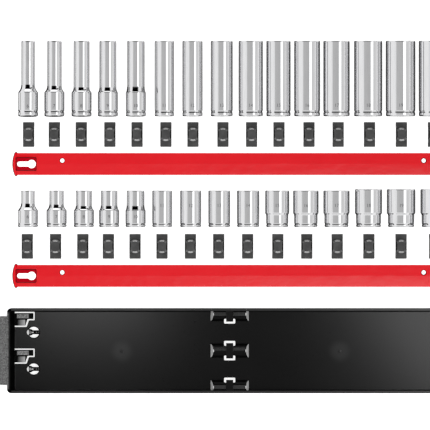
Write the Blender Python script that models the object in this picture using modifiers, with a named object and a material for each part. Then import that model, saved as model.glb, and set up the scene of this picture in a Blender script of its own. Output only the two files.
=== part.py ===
"""Socket set with rail: 30 sockets, their clips, two rails and the tray, laid out flat on a bench.

Units are metres. X runs along the rows, Y from the tray to the deep sockets, Z up.
"""

import math

import bmesh
import bpy
from mathutils import Matrix

# Sockets: sizes shared by all of them
NUT_SIZES = (0.006, 0.007, 0.008, 0.009, 0.010, 0.011, 0.012, 0.013,
             0.014, 0.015, 0.016, 0.017, 0.018, 0.019, 0.020)
NUT_FIT = 0.0001
DRIVE_SQUARE = 0.00953
DRIVE_FIT = 0.0001
DRIVE_DEPTH = 0.0110
DRIVE_END_DIAMETER = 0.0169
ROUND_STEPS = 16
NECKED_SOCKETS = 5

# Deep sockets
DEEP_LENGTH = 0.0635
DEEP_DIAMETERS = (0.0116, 0.0123, 0.0134, 0.0143, 0.0148, 0.0164, 0.0170, 0.0185,
                  0.0204, 0.0204, 0.0218, 0.0222, 0.0237, 0.0249, 0.0262)
DEEP_SHOULDER_FOOT = 0.0215
DEEP_SHOULDER_RISE = 0.0043
DEEP_HEX_DEPTH = 0.0200
DEEP_BORE_SHARE = 0.96
DEEP_BORE_STEPS = 8
DEEP_GROOVE_HEIGHT = 0.0039
DEEP_GROOVE_WIDTH = 0.0019
GROOVE_DEPTH = 0.0006

# Shallow sockets
SHALLOW_LENGTH = 0.0307
SHALLOW_LONG_EXTRA = 0.0011
SHALLOW_LONG_FROM = 12
SHALLOW_DIAMETERS = (0.0115, 0.0121, 0.0135, 0.0139, 0.0148, 0.0168, 0.0177, 0.0183,
                     0.0187, 0.0202, 0.0214, 0.0220, 0.0228, 0.0240, 0.0253)
SHALLOW_SHOULDER_FOOT = 0.0155
SHALLOW_SHOULDER_RISE = 0.0035
SHALLOW_STEPPED_FROM = 9
SHALLOW_STEP_SHARE = 0.92
SHALLOW_STEP_FOOT = 0.0108
SHALLOW_STEP_RISE = 0.0006
SHALLOW_GROOVE_HEIGHT = 0.0024
SHALLOW_GROOVE_WIDTH = 0.0013

# Rails
RAIL_LENGTH = 0.3556
RAIL_WIDTH = 0.0186
RAIL_HEIGHT = 0.0055
FLANGE_THICKNESS = 0.0022
FLANGE_REACH = 0.0030
STOP_REACH = 0.00085
STOP_THICKNESS = 0.0021
STOP_ARC_RISE = 0.0022
STOP_ARC_STEPS = 8
POCKET_START = 0.0026
POCKET_LENGTH = 0.0182
POCKET_SIDE = 0.0032
POCKET_DEPTH = 0.0024
POCKET_CORNER = 0.0010
KEYHOLE_SLOT_START = 0.0037
KEYHOLE_SLOT_WIDTH = 0.0049
KEYHOLE_HOLE_PLACE = 0.0166
KEYHOLE_HOLE_DIAMETER = 0.0078
PIN_HOLE_DIAMETER = 0.0042
PIN_HOLE_OFFSET = 0.0029
PIN_HOLE_NEAR = 0.0422
PIN_HOLE_FAR = 0.0084
HOLE_STEPS = 12

# Clips: a saddle that slides on the rail's flange, with a sprung stud for the socket
CLIP_WIDTH = 0.0095
CLIP_WALL = 0.0009
CLIP_RAIL_FIT = 0.00025
CLIP_LIP_THICKNESS = 0.0012
CLIP_TOP_THICKNESS = 0.0016
CLIP_EDGE_CHAMFER = 0.0006
STUD_HEIGHT = 0.0095
STUD_FLATS = 0.0092
STUD_BULGE_DIAMETER = 0.0115
STUD_FOOT_DIAMETER = 0.0104
STUD_TIP_DIAMETER = 0.0080
STUD_STEPS = 12
STUD_BULGE_SHARE = 0.50
STUD_SHOULDER_SHARE = 0.88
STUD_WINDOW_WIDTH = 0.0050
STUD_WINDOW_HEIGHT = 0.0055

# Tray
TRAY_HEIGHT = 0.0127
TRAY_WALL = 0.0024
TRAY_CORNER = 0.0034
TRAY_CORNER_STEPS = 4
TRAY_INNER_CORNER = 0.0016
TRAY_END_SLOPE = 0.0034
FLOOR_UNDERSIDE = 0.0040
FLOOR_THICKNESS = 0.0016
RAIL_FIT = 0.0001
RAIL_NEAR_SPACE = 0.0133
RAIL_FAR_SPACE = 0.0064
BAR_LENGTH = 0.0274
BAR_END_SLOPE = 0.0026
CENTRE_BAR_WIDTH = 0.0122
SIDE_BAR_WIDTH = 0.0085
BAR_ARC_STEPS = 8
LIP_LENGTH = 0.0053
LIP_REACH = 0.0013
LIP_THICKNESS = 0.0012
LIP_GAP = 0.0003
LIP_WINDOW_LENGTH = 0.0104
LIP_WINDOW_REACH = 0.0026
LIP_WINDOW_UNDERCUT = 0.0025
FAR_LIP_WIDTH = 0.0060
FAR_LIP_REACH = 0.0026
LEDGE_LENGTH = 0.0580
LEDGE_REACH = 0.0070
LEDGE_FOOT = 0.0030
LEDGE_LIFT = 0.0004
LEDGE_DROP = 0.0020

# Tray studs that the rails hook on
PEG_SLOT_FIT = 0.00025
PEG_HEAD_DIAMETER = 0.0062
PEG_HEAD_THICKNESS = 0.0015
PEG_RAIL_GAP = 0.0003
PEG_WINDOW_DIAMETER = 0.0103
PEG_WINDOW_OFFSET = 0.0026
PEG_ARM_WIDTH = 0.0027
PEG_STEPS = 12

# Latches: sprung tongues at the near end of each rail's lane
LATCH_ROOT_PLACE = 0.0064
LATCH_LENGTH = 0.0157
LATCH_SHORT_LENGTH = 0.0108
LATCH_FOOT_LENGTH = 0.0089
LATCH_SLIT = 0.0013
LATCH_ROOT_GAP = 0.0003
LATCH_TOP = 0.0162
LATCH_STEP = 0.0111
LATCH_BOTTOM = 0.0055
PAD_START = 0.0018
PAD_LENGTH = 0.0101
PAD_WIDTH = 0.0038
PAD_HEIGHT = 0.0030
RAMP_START = 0.0023
RAMP_WIDTH = 0.0045
RAMP_HEIGHT = 0.0015
RAMP_STOP_GAP = 0.0003

# Layout on the bench
SOCKET_GAP = 0.0050
DEEP_GAP_SHARES = (1.06, 1.20, 1.06, 1.34, 1.48, 1.40, 1.38, 1.00, 0.60, 0.60, 0.56, 0.74, 0.60, 0.58)
SHALLOW_GAP_SHARES = (1.45, 1.22, 0.88, 1.08, 1.12, 1.35, 1.22, 1.17, 1.01, 0.67, 0.82, 0.92, 0.81, 0.86)
DEEP_CLIP_SHIFT_SHARES = (0.04, -0.01, -0.03, 0.17, 0.10, 0.13, 0.04, 0.11,
                          0.08, 0.05, 0.18, 0.16, 0.14, 0.10, -0.04)
SHALLOW_CLIP_SHIFT_SHARES = (-0.07, -0.10, -0.10, -0.07, -0.05, -0.02, -0.02, -0.05,
                             -0.04, 0.06, 0.09, 0.08, 0.05, 0.02, -0.04)
SHALLOW_CLIPS = 10
DEEP_ROW_START = 0.0092
SHALLOW_ROW_START = 0.0091
RAIL_START = 0.0042
TRAY_TO_RAIL = 0.0171
RAIL_TO_CLIPS = 0.0043
CLIPS_TO_SHALLOW = 0.0059
SHALLOW_TO_RAIL = 0.0112
CLIPS_TO_DEEP = 0.0048

# Modelling values
CUT_OVERRUN = 0.0010
JOIN_OVERLAP = 0.0006
MERGE_DISTANCE = 0.000002

# Sizes worked out from those above
CORE_WIDTH = RAIL_WIDTH - 2 * FLANGE_REACH
STOP_WIDTH = RAIL_WIDTH + 2 * STOP_REACH
POCKET_WIDTH = RAIL_WIDTH - 2 * POCKET_SIDE
CLIP_SPAN = RAIL_WIDTH + 2 * (CLIP_RAIL_FIT + CLIP_WALL)
LANE_OFFSET = CENTRE_BAR_WIDTH / 2 + RAIL_FIT + RAIL_WIDTH / 2
TRAY_LENGTH = RAIL_NEAR_SPACE + RAIL_LENGTH + RAIL_FAR_SPACE
TRAY_WIDTH = 2 * (LANE_OFFSET + RAIL_WIDTH / 2 + RAIL_FIT + SIDE_BAR_WIDTH + TRAY_WALL)
FLOOR_TOP = FLOOR_UNDERSIDE + FLOOR_THICKNESS
PEG_PLACE = RAIL_NEAR_SPACE + KEYHOLE_SLOT_START + KEYHOLE_SLOT_WIDTH / 2
TRAY_LEFT = (LEDGE_REACH - TRAY_LENGTH) / 2
TRAY_MIDDLE = LEDGE_REACH / 2


def clear_scene():
    for item in list(bpy.data.objects):
        bpy.data.objects.remove(item, do_unlink=True)


def make_collection(name):
    found = bpy.data.collections.new(name)
    bpy.context.scene.collection.children.link(found)
    return found


def make_material(name, colour, metallic, roughness):
    material = bpy.data.materials.new(name)
    material.use_nodes = True
    shader = material.node_tree.nodes["Principled BSDF"]
    shader.inputs["Base Color"].default_value = (*colour, 1.0)
    shader.inputs["Metallic"].default_value = metallic
    shader.inputs["Roughness"].default_value = roughness
    return material


def add_mesh(name, mesh, collection):
    made = bpy.data.objects.new(name, mesh)
    collection.objects.link(made)
    return made


def add_cutter(name, mesh, owner=None):
    """A hidden helper, which moves with its owner if it has one."""
    made = add_mesh(name, mesh, CUTTERS)
    made.hide_render = True
    made.display_type = "WIRE"
    made.parent = owner
    return made


def combine(target, other, operation):
    modifier = target.modifiers.new(other.name, "BOOLEAN")
    modifier.operation = operation
    modifier.solver = "EXACT"
    modifier.object = other


def finished_mesh(made):
    """The object's mesh with its modifiers applied, in its own coordinates."""
    bpy.context.view_layer.update()
    graph = bpy.context.evaluated_depsgraph_get()
    return bpy.data.meshes.new_from_object(made.evaluated_get(graph))


def box_mesh(name, low, high):
    mesh = bpy.data.meshes.new(name)
    shape = bmesh.new()
    bmesh.ops.create_cube(shape, size=1)
    sides = [b - a for a, b in zip(low, high)]
    middle = [(a + b) / 2 for a, b in zip(low, high)]
    bmesh.ops.scale(shape, vec=sides, verts=shape.verts)
    bmesh.ops.translate(shape, vec=middle, verts=shape.verts)
    shape.to_mesh(mesh)
    shape.free()
    return mesh


def prism_mesh(name, sides, radius, bottom, top):
    """An upright prism on the Z axis, with one corner on +Y."""
    mesh = bpy.data.meshes.new(name)
    shape = bmesh.new()
    bmesh.ops.create_cone(shape, cap_ends=True, segments=sides, radius1=radius, radius2=radius,
                          depth=top - bottom)
    bmesh.ops.translate(shape, vec=(0, 0, (bottom + top) / 2), verts=shape.verts)
    shape.to_mesh(mesh)
    shape.free()
    return mesh


def plate_mesh(name, outline, bottom, top):
    """A flat outline in X and Y, as thick as from bottom to top."""
    curve = bpy.data.curves.new(name, "CURVE")
    curve.dimensions = "2D"
    curve.fill_mode = "BOTH"
    curve.extrude = (top - bottom) / 2
    spline = curve.splines.new("POLY")
    spline.points.add(len(outline) - 1)
    spline.use_cyclic_u = True
    for point, (x, y) in zip(spline.points, outline):
        point.co = (x, y, 0, 1)
    guide = add_mesh(name + "_guide", curve, CUTTERS)
    mesh = finished_mesh(guide)
    bpy.data.objects.remove(guide)
    shape = bmesh.new()
    shape.from_mesh(mesh)
    bmesh.ops.remove_doubles(shape, verts=shape.verts, dist=MERGE_DISTANCE)
    bmesh.ops.dissolve_limit(shape, angle_limit=math.radians(0.1), verts=shape.verts, edges=shape.edges)
    bmesh.ops.translate(shape, vec=(0, 0, (bottom + top) / 2), verts=shape.verts)
    bmesh.ops.recalc_face_normals(shape, faces=shape.faces)
    shape.to_mesh(mesh)
    shape.free()
    return mesh


def turned(name, profile, steps, collection):
    """A turned solid, its facets touching the true round: (radius, height) from its top down to its foot."""
    half_facet = math.tan(math.pi / steps)
    mesh = bpy.data.meshes.new(name)
    shape = bmesh.new()
    points = [shape.verts.new((r, r * half_facet, z)) for r, z in profile]
    for upper, lower in zip(points, points[1:]):
        shape.edges.new((upper, lower))
    shape.to_mesh(mesh)
    shape.free()
    made = add_mesh(name, mesh, collection)
    screw = made.modifiers.new("turn", "SCREW")
    screw.axis = "Z"
    screw.angle = math.tau
    screw.steps = steps
    screw.render_steps = steps
    screw.use_merge_vertices = True
    screw.merge_threshold = MERGE_DISTANCE
    screw.use_smooth_shade = True
    return made


def arc_points(centre, radii, start, end, steps):
    angles = [start + (end - start) * k / steps for k in range(steps + 1)]
    return [(centre[0] + radii[0] * math.cos(a), centre[1] + radii[1] * math.sin(a)) for a in angles]


def rounded_rectangle(length, width, radius, steps):
    outline = []
    for quarter, (sx, sy) in enumerate(((1, 1), (-1, 1), (-1, -1), (1, -1))):
        centre = (sx * (length / 2 - radius), sy * (width / 2 - radius))
        start = quarter * math.pi / 2
        outline += arc_points(centre, (radius, radius), start, start + math.pi / 2, steps)
    return outline


def rounded_slot(left, right, low, high, radius, steps):
    length = right - left
    width = high - low
    middle = ((left + right) / 2, (low + high) / 2)
    corners = rounded_rectangle(length, width, radius, steps)
    return [(middle[0] + x, middle[1] + y) for x, y in corners]


# Sockets
def socket_profile(length, nut_radius, drive_radius, foot, rise, groove_height, groove_width):
    """Half outline of a socket that stands on its drive end, top to bottom."""
    profile = [(0, length), (nut_radius, length)]
    if nut_radius != drive_radius:
        profile += [(nut_radius, foot + rise), (drive_radius, foot)]
    profile += [(drive_radius, groove_height + groove_width / 2),
                (drive_radius - GROOVE_DEPTH, groove_height),
                (drive_radius, groove_height - groove_width / 2),
                (drive_radius, 0),
                (0, 0)]
    return profile


def make_socket(name, size, profile, length, hexagon_foot, material):
    """One socket, standing on its drive end: a turned body with a hexagon, a bore and a drive square."""
    body = turned(name, profile, ROUND_STEPS, PARTS)
    across = size + NUT_FIT
    corner_radius = across / 2 / math.cos(math.pi / 6)
    hexagon = prism_mesh(name + "_hexagon", 6, corner_radius, hexagon_foot, length + CUT_OVERRUN)
    combine(body, add_cutter(name + "_hexagon", hexagon, body), "DIFFERENCE")
    if hexagon_foot > DRIVE_DEPTH:
        bore_radius = across / 2 * DEEP_BORE_SHARE
        bore = prism_mesh(name + "_bore", DEEP_BORE_STEPS, bore_radius,
                          DRIVE_DEPTH - JOIN_OVERLAP, hexagon_foot + JOIN_OVERLAP)
        combine(body, add_cutter(name + "_bore", bore, body), "DIFFERENCE")
    half = (DRIVE_SQUARE + DRIVE_FIT) / 2
    square = box_mesh(name + "_square", (-half, -half, -CUT_OVERRUN), (half, half, DRIVE_DEPTH))
    combine(body, add_cutter(name + "_square", square, body), "DIFFERENCE")
    body.data.materials.append(material)
    return body


def deep_lean(nut_radius, drive_radius):
    """How far a deep necked socket tips, so that its shoulder and its nut end both touch the bench."""
    if nut_radius >= drive_radius:
        return 0
    return math.atan2(drive_radius - nut_radius, DEEP_LENGTH - DEEP_SHOULDER_FOOT)


def lay_down(body, x, y_drive_end, height, lean):
    """Lays a socket on its side, with its nut end to +Y."""
    body.rotation_euler = (-math.pi / 2 - lean, 0, 0)
    body.location = (x, y_drive_end, height)


def row_places(diameters, gap_shares, start):
    """The middle of each socket in a row, laid side by side with its own gap after each."""
    left = TRAY_LEFT + start
    places = []
    for diameter, share in zip(diameters, (*gap_shares, 0)):
        places.append(left + diameter / 2)
        left += diameter + SOCKET_GAP * share
    return places


def deep_drive_radius(column):
    if column < NECKED_SOCKETS:
        return DRIVE_END_DIAMETER / 2
    return DEEP_DIAMETERS[column] / 2


def shallow_drive_radius(column):
    if column < NECKED_SOCKETS:
        return DRIVE_END_DIAMETER / 2
    if column >= SHALLOW_STEPPED_FROM:
        return SHALLOW_DIAMETERS[column] / 2 * SHALLOW_STEP_SHARE
    return SHALLOW_DIAMETERS[column] / 2


def shallow_length(column):
    if column >= SHALLOW_LONG_FROM:
        return SHALLOW_LENGTH + SHALLOW_LONG_EXTRA
    return SHALLOW_LENGTH


def deep_reach():
    """How far the deep row reaches from its drive ends, with its necked sockets leaning."""
    reaches = []
    for column, diameter in enumerate(DEEP_DIAMETERS):
        lean = deep_lean(diameter / 2, deep_drive_radius(column))
        reaches.append(DEEP_LENGTH * math.cos(lean) + diameter / 2 * math.sin(lean))
    return max(reaches)


def make_deep_sockets(places, y_drive_end, material):
    for column, (size, diameter) in enumerate(zip(NUT_SIZES, DEEP_DIAMETERS)):
        nut_radius = diameter / 2
        drive_radius = deep_drive_radius(column)
        profile = socket_profile(DEEP_LENGTH, nut_radius, drive_radius, DEEP_SHOULDER_FOOT,
                                 DEEP_SHOULDER_RISE, DEEP_GROOVE_HEIGHT, DEEP_GROOVE_WIDTH)
        name = f"deep_socket_{round(size * 1000):02d}mm"
        body = make_socket(name, size, profile, DEEP_LENGTH, DEEP_LENGTH - DEEP_HEX_DEPTH, material)
        lean = deep_lean(nut_radius, drive_radius)
        height = drive_radius * math.cos(lean) + DEEP_SHOULDER_FOOT * math.sin(lean)
        lay_down(body, places[column], y_drive_end, height, lean)


def make_shallow_sockets(places, y_drive_end, material):
    for column, (size, diameter) in enumerate(zip(NUT_SIZES, SHALLOW_DIAMETERS)):
        nut_radius = diameter / 2
        drive_radius = shallow_drive_radius(column)
        length = shallow_length(column)
        foot = SHALLOW_SHOULDER_FOOT
        rise = SHALLOW_SHOULDER_RISE
        if column >= SHALLOW_STEPPED_FROM:
            foot = SHALLOW_STEP_FOOT
            rise = SHALLOW_STEP_RISE
        profile = socket_profile(length, nut_radius, drive_radius, foot, rise,
                                 SHALLOW_GROOVE_HEIGHT, SHALLOW_GROOVE_WIDTH)
        name = f"shallow_socket_{round(size * 1000):02d}mm"
        body = make_socket(name, size, profile, length, DRIVE_DEPTH - JOIN_OVERLAP, material)
        height = max(nut_radius, drive_radius)
        lay_down(body, places[column], y_drive_end, height, 0)


# Clips
def clip_stud_profile():
    """Half outline of the sprung stud, from its tip to its foot."""
    return [(0, STUD_HEIGHT),
            (STUD_TIP_DIAMETER / 2, STUD_HEIGHT),
            (STUD_FLATS / 2, STUD_HEIGHT * STUD_SHOULDER_SHARE),
            (STUD_BULGE_DIAMETER / 2, STUD_HEIGHT * STUD_BULGE_SHARE),
            (STUD_FOOT_DIAMETER / 2, -JOIN_OVERLAP),
            (0, -JOIN_OVERLAP)]


def clip_saddle_outline():
    """The saddle seen along the rail: a flat top with two legs that hook under the flange."""
    outer = CLIP_SPAN / 2
    inner = RAIL_WIDTH / 2 + CLIP_RAIL_FIT
    throat = CORE_WIDTH / 2 + CLIP_RAIL_FIT
    ceiling = CLIP_LIP_THICKNESS + FLANGE_THICKNESS + 2 * CLIP_RAIL_FIT
    top = ceiling + CLIP_TOP_THICKNESS
    half = [(throat, 0), (outer, 0), (outer, top - CLIP_EDGE_CHAMFER), (outer - CLIP_EDGE_CHAMFER, top)]
    inside = [(inner, ceiling), (inner, CLIP_LIP_THICKNESS), (throat, CLIP_LIP_THICKNESS)]
    right = half + [(-y, z) for y, z in reversed(half)]
    left = [(-y, z) for y, z in reversed(inside)] + inside
    return right + left, top


def make_clip_mesh(material):
    """One clip on its own frame: it stands on its legs, with the rail's way along X."""
    outline, top = clip_saddle_outline()
    saddle_mesh = plate_mesh("clip_saddle", outline, -CLIP_WIDTH / 2, CLIP_WIDTH / 2)
    saddle_mesh.transform(Matrix(((0, 0, 1, 0), (1, 0, 0, 0), (0, 1, 0, 0), (0, 0, 0, 1))))
    clip = add_mesh("clip_pattern", saddle_mesh, CUTTERS)
    stud = turned("clip_stud", clip_stud_profile(), STUD_STEPS, CUTTERS)
    flats = box_mesh("clip_flats", (-STUD_FLATS / 2, -CLIP_SPAN, -CUT_OVERRUN),
                     (STUD_FLATS / 2, CLIP_SPAN, STUD_HEIGHT + CUT_OVERRUN))
    combine(stud, add_cutter("clip_flats", flats), "INTERSECT")
    window_foot = (STUD_HEIGHT * STUD_SHOULDER_SHARE - STUD_WINDOW_HEIGHT) / 2
    window = box_mesh("clip_window", (-CLIP_WIDTH, -STUD_WINDOW_WIDTH / 2, window_foot),
                      (CLIP_WIDTH, STUD_WINDOW_WIDTH / 2, window_foot + STUD_WINDOW_HEIGHT))
    combine(stud, add_cutter("clip_window", window), "DIFFERENCE")
    stud_mesh = finished_mesh(stud)
    stud_mesh.transform(Matrix.Translation((0, 0, top)))
    bpy.data.objects.remove(stud)
    combine(clip, add_cutter("clip_stud_set", stud_mesh), "UNION")
    mesh = finished_mesh(clip)
    bpy.data.objects.remove(clip)
    mesh.name = "clip"
    mesh.materials.clear()
    mesh.materials.append(material)
    return mesh


def make_clips(prefix, places, shift_shares, y_middle, mesh):
    for size, place, share in zip(NUT_SIZES, places, shift_shares):
        clip = add_mesh(f"{prefix}_clip_{round(size * 1000):02d}mm", mesh, PARTS)
        clip.location = (place + CLIP_WIDTH * share, y_middle, 0)


# Rails
def rail_top_outline():
    """The flange and its end stop, seen from above, with the arc of the stop at X zero."""
    half = RAIL_WIDTH / 2
    stop = STOP_WIDTH / 2
    radius = (stop ** 2 + STOP_ARC_RISE ** 2) / (2 * STOP_ARC_RISE)
    swing = math.asin(stop / radius)
    arc = arc_points((radius, 0), (radius, radius), math.pi - swing, math.pi + swing, STOP_ARC_STEPS)
    shoulder = STOP_ARC_RISE + STOP_THICKNESS
    return arc + [(shoulder, -stop), (shoulder, -half), (RAIL_LENGTH, -half),
                  (RAIL_LENGTH, half), (shoulder, half), (shoulder, stop)]


def rail_foot_outline():
    """The stop and the core under the flange, seen from above."""
    half = CORE_WIDTH / 2
    outline = rail_top_outline()
    return [(x, math.copysign(half, y) if abs(y) == RAIL_WIDTH / 2 else y) for x, y in outline]


def keyhole_outline():
    """A slot with a round near end that opens into the larger hole."""
    slot = KEYHOLE_SLOT_WIDTH / 2
    hole = KEYHOLE_HOLE_DIAMETER / 2
    meet = math.pi - math.asin(slot / hole)
    near_centre = (KEYHOLE_SLOT_START + slot, 0)
    near = arc_points(near_centre, (slot, slot), math.pi / 2, 3 * math.pi / 2, HOLE_STEPS // 2)
    far = arc_points((KEYHOLE_HOLE_PLACE, 0), (hole, hole), -meet, meet, HOLE_STEPS)
    return near + far


def make_rail_mesh(material):
    """One rail on its own frame: its stop's arc starts at X zero and its foot is at Z zero."""
    step = RAIL_HEIGHT - FLANGE_THICKNESS
    foot = plate_mesh("rail_foot", rail_foot_outline(), 0, step + JOIN_OVERLAP)
    rail = add_mesh("rail_pattern", foot, CUTTERS)
    flange = plate_mesh("rail_flange", rail_top_outline(), step, RAIL_HEIGHT)
    combine(rail, add_cutter("rail_flange", flange), "UNION")
    pocket = rounded_slot(POCKET_START, POCKET_START + POCKET_LENGTH, -POCKET_WIDTH / 2,
                          POCKET_WIDTH / 2, POCKET_CORNER, 2)
    pocket_floor = RAIL_HEIGHT - POCKET_DEPTH
    pocket_cut = plate_mesh("rail_pocket", pocket, pocket_floor, RAIL_HEIGHT + CUT_OVERRUN)
    combine(rail, add_cutter("rail_pocket", pocket_cut), "DIFFERENCE")
    keyhole = plate_mesh("rail_keyhole", keyhole_outline(), -CUT_OVERRUN, pocket_floor + CUT_OVERRUN)
    combine(rail, add_cutter("rail_keyhole", keyhole), "DIFFERENCE")
    for label, place in (("near", PIN_HOLE_NEAR), ("far", RAIL_LENGTH - PIN_HOLE_FAR)):
        hole = prism_mesh(f"rail_hole_{label}", HOLE_STEPS, PIN_HOLE_DIAMETER / 2,
                          -CUT_OVERRUN, RAIL_HEIGHT + CUT_OVERRUN)
        hole.transform(Matrix.Translation((place, PIN_HOLE_OFFSET, 0)))
        combine(rail, add_cutter(f"rail_hole_{label}", hole), "DIFFERENCE")
    mesh = finished_mesh(rail)
    bpy.data.objects.remove(rail)
    mesh.name = "rail"
    mesh.materials.clear()
    mesh.materials.append(material)
    return mesh


# Tray
def sloped_cavity_mesh():
    """The inside of the tray: its two ends lean outwards from the floor to the rim."""
    outline = rounded_rectangle(TRAY_LENGTH - 2 * TRAY_WALL, TRAY_WIDTH - 2 * TRAY_WALL,
                                TRAY_INNER_CORNER, TRAY_CORNER_STEPS)
    mesh = plate_mesh("tray_cavity", outline, FLOOR_TOP, TRAY_HEIGHT + CUT_OVERRUN)
    shape = bmesh.new()
    shape.from_mesh(mesh)
    for vertex in shape.verts:
        if vertex.co.z < TRAY_HEIGHT:
            vertex.co.x -= math.copysign(TRAY_END_SLOPE, vertex.co.x)
    shape.to_mesh(mesh)
    shape.free()
    return mesh


def bar_mesh(name, near_side, far_side, y_middle):
    """A rounded ridge along X whose ends lean in: each side is a quarter arch of its own width."""
    foot = FLOOR_TOP - JOIN_OVERLAP
    rise = TRAY_HEIGHT - LIP_GAP - foot
    quarter = math.pi / 2
    section = arc_points((0, 0), (far_side, rise), 0, quarter, BAR_ARC_STEPS // 2)
    section += arc_points((0, 0), (near_side, rise), quarter, 2 * quarter, BAR_ARC_STEPS // 2)[1:]
    mesh = plate_mesh(name, section, -BAR_LENGTH / 2, BAR_LENGTH / 2)
    mesh.transform(Matrix(((0, 0, 1, 0), (1, 0, 0, y_middle), (0, 1, 0, foot), (0, 0, 0, 1))))
    shape = bmesh.new()
    shape.from_mesh(mesh)
    for vertex in shape.verts:
        low_share = 1 - (vertex.co.z - foot) / rise
        vertex.co.x += math.copysign(BAR_END_SLOPE * low_share, vertex.co.x)
    shape.to_mesh(mesh)
    shape.free()
    return mesh


def add_bars(tray):
    """The three ridges across the middle of the tray, which the rails lie between."""
    side_middle = TRAY_WIDTH / 2 - TRAY_WALL
    centre = bar_mesh("bar_centre", CENTRE_BAR_WIDTH / 2, CENTRE_BAR_WIDTH / 2, 0)
    combine(tray, add_cutter("bar_centre", centre), "UNION")
    back = bar_mesh("bar_back", SIDE_BAR_WIDTH, JOIN_OVERLAP, side_middle)
    combine(tray, add_cutter("bar_back", back), "UNION")
    front = bar_mesh("bar_front", JOIN_OVERLAP, SIDE_BAR_WIDTH, -side_middle)
    combine(tray, add_cutter("bar_front", front), "UNION")


def add_lips(tray):
    """Small lips on the ridges hook over the rails' edges, each over its own window in the floor."""
    lane_inner = LANE_OFFSET - RAIL_WIDTH / 2 - RAIL_FIT
    lane_outer = LANE_OFFSET + RAIL_WIDTH / 2 + RAIL_FIT
    windows = {"inner": (lane_inner - LIP_WINDOW_UNDERCUT, lane_inner + LIP_WINDOW_REACH),
               "outer": (lane_outer - LIP_WINDOW_REACH, lane_outer + LIP_WINDOW_UNDERCUT)}
    half = LIP_WINDOW_LENGTH / 2
    for side, (low, high) in windows.items():
        for lane, (front, back) in (("back", (low, high)), ("front", (-high, -low))):
            label = f"window_{lane}_{side}"
            window = box_mesh(label, (-half, front, FLOOR_UNDERSIDE - CUT_OVERRUN),
                              (half, back, TRAY_HEIGHT + CUT_OVERRUN))
            combine(tray, add_cutter(label, window), "DIFFERENCE")
    wall = TRAY_WIDTH / 2 - TRAY_WALL + JOIN_OVERLAP
    lips = {"lip_front": (-wall, LIP_REACH - lane_outer),
            "lip_centre": (-lane_inner - LIP_REACH, lane_inner + LIP_REACH),
            "lip_back": (lane_outer - LIP_REACH, wall)}
    lip_low = FLOOR_TOP + RAIL_HEIGHT + LIP_GAP
    for label, (front, back) in lips.items():
        lip = box_mesh(label, (-LIP_LENGTH / 2, front, lip_low),
                       (LIP_LENGTH / 2, back, lip_low + LIP_THICKNESS))
        combine(tray, add_cutter(label, lip), "UNION")


def add_pegs(tray):
    """A headed peg in each lane, on an arm across a round window."""
    left = -TRAY_LENGTH / 2
    neck_radius = KEYHOLE_SLOT_WIDTH / 2 - PEG_SLOT_FIT
    head_foot = FLOOR_TOP + RAIL_HEIGHT - POCKET_DEPTH + PEG_RAIL_GAP
    head_top = head_foot + PEG_HEAD_THICKNESS
    peg_foot = FLOOR_UNDERSIDE + FLOOR_THICKNESS / 4
    head_radius = PEG_HEAD_DIAMETER / 2
    profile = [(0, head_top), (neck_radius, head_top), (head_radius, head_foot + PEG_HEAD_THICKNESS / 2),
               (head_radius, head_foot), (neck_radius, head_foot), (neck_radius, peg_foot), (0, peg_foot)]
    for lane, y in (("back", LANE_OFFSET), ("front", -LANE_OFFSET)):
        middle = left + PEG_PLACE + PEG_WINDOW_OFFSET
        window = prism_mesh("peg_window_" + lane, PEG_STEPS, PEG_WINDOW_DIAMETER / 2,
                            FLOOR_UNDERSIDE - CUT_OVERRUN, FLOOR_TOP + CUT_OVERRUN)
        window.transform(Matrix.Translation((middle, y, 0)))
        window_cut = add_cutter("peg_window_" + lane, window)
        reach = PEG_WINDOW_DIAMETER
        arm = box_mesh("peg_arm_" + lane, (middle - reach, y - PEG_ARM_WIDTH / 2, -CUT_OVERRUN),
                       (middle + reach, y + PEG_ARM_WIDTH / 2, TRAY_HEIGHT))
        combine(window_cut, add_cutter("peg_arm_" + lane, arm), "DIFFERENCE")
        combine(tray, window_cut, "DIFFERENCE")
        peg = turned("peg_" + lane, profile, PEG_STEPS, CUTTERS)
        peg.location = (left + PEG_PLACE, y, 0)
        peg.hide_render = True
        peg.display_type = "WIRE"
        combine(tray, peg, "UNION")


def add_far_lips(tray):
    """At the far end each rail slides under one broad lip on the end wall."""
    right = TRAY_LENGTH / 2
    lip_low = FLOOR_TOP + RAIL_HEIGHT + LIP_GAP
    for lane, y in (("back", LANE_OFFSET), ("front", -LANE_OFFSET)):
        start = right - RAIL_FAR_SPACE - FAR_LIP_REACH
        lip = box_mesh("far_lip_" + lane, (start, y - FAR_LIP_WIDTH / 2, lip_low),
                       (right - JOIN_OVERLAP, y + FAR_LIP_WIDTH / 2, lip_low + LIP_THICKNESS))
        combine(tray, add_cutter("far_lip_" + lane, lip), "UNION")


def add_label_ledge(tray):
    """A sloping ledge on the near end, with nothing on it."""
    left = -TRAY_LENGTH / 2
    inside = left + TRAY_WALL / 2
    top = TRAY_HEIGHT - LEDGE_DROP
    outline = [(inside, LEDGE_LIFT), (inside, top), (left, top), (left - LEDGE_REACH, LEDGE_FOOT),
               (left - LEDGE_REACH, LEDGE_LIFT)]
    mesh = plate_mesh("label_ledge", outline, -LEDGE_LENGTH / 2, LEDGE_LENGTH / 2)
    mesh.transform(Matrix.Rotation(math.pi / 2, 4, "X"))
    combine(tray, add_cutter("label_ledge", mesh), "UNION")


def latch_outline(grow):
    """The tongue seen from above, from its root at X zero, with the rail's middle at Y zero."""
    return [(0, LATCH_BOTTOM - grow), (LATCH_FOOT_LENGTH + grow, LATCH_BOTTOM - grow),
            (LATCH_SHORT_LENGTH + grow, LATCH_STEP - grow), (LATCH_LENGTH + grow, LATCH_STEP - grow),
            (LATCH_LENGTH + grow, LATCH_TOP + grow), (0, LATCH_TOP + grow)]


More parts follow.
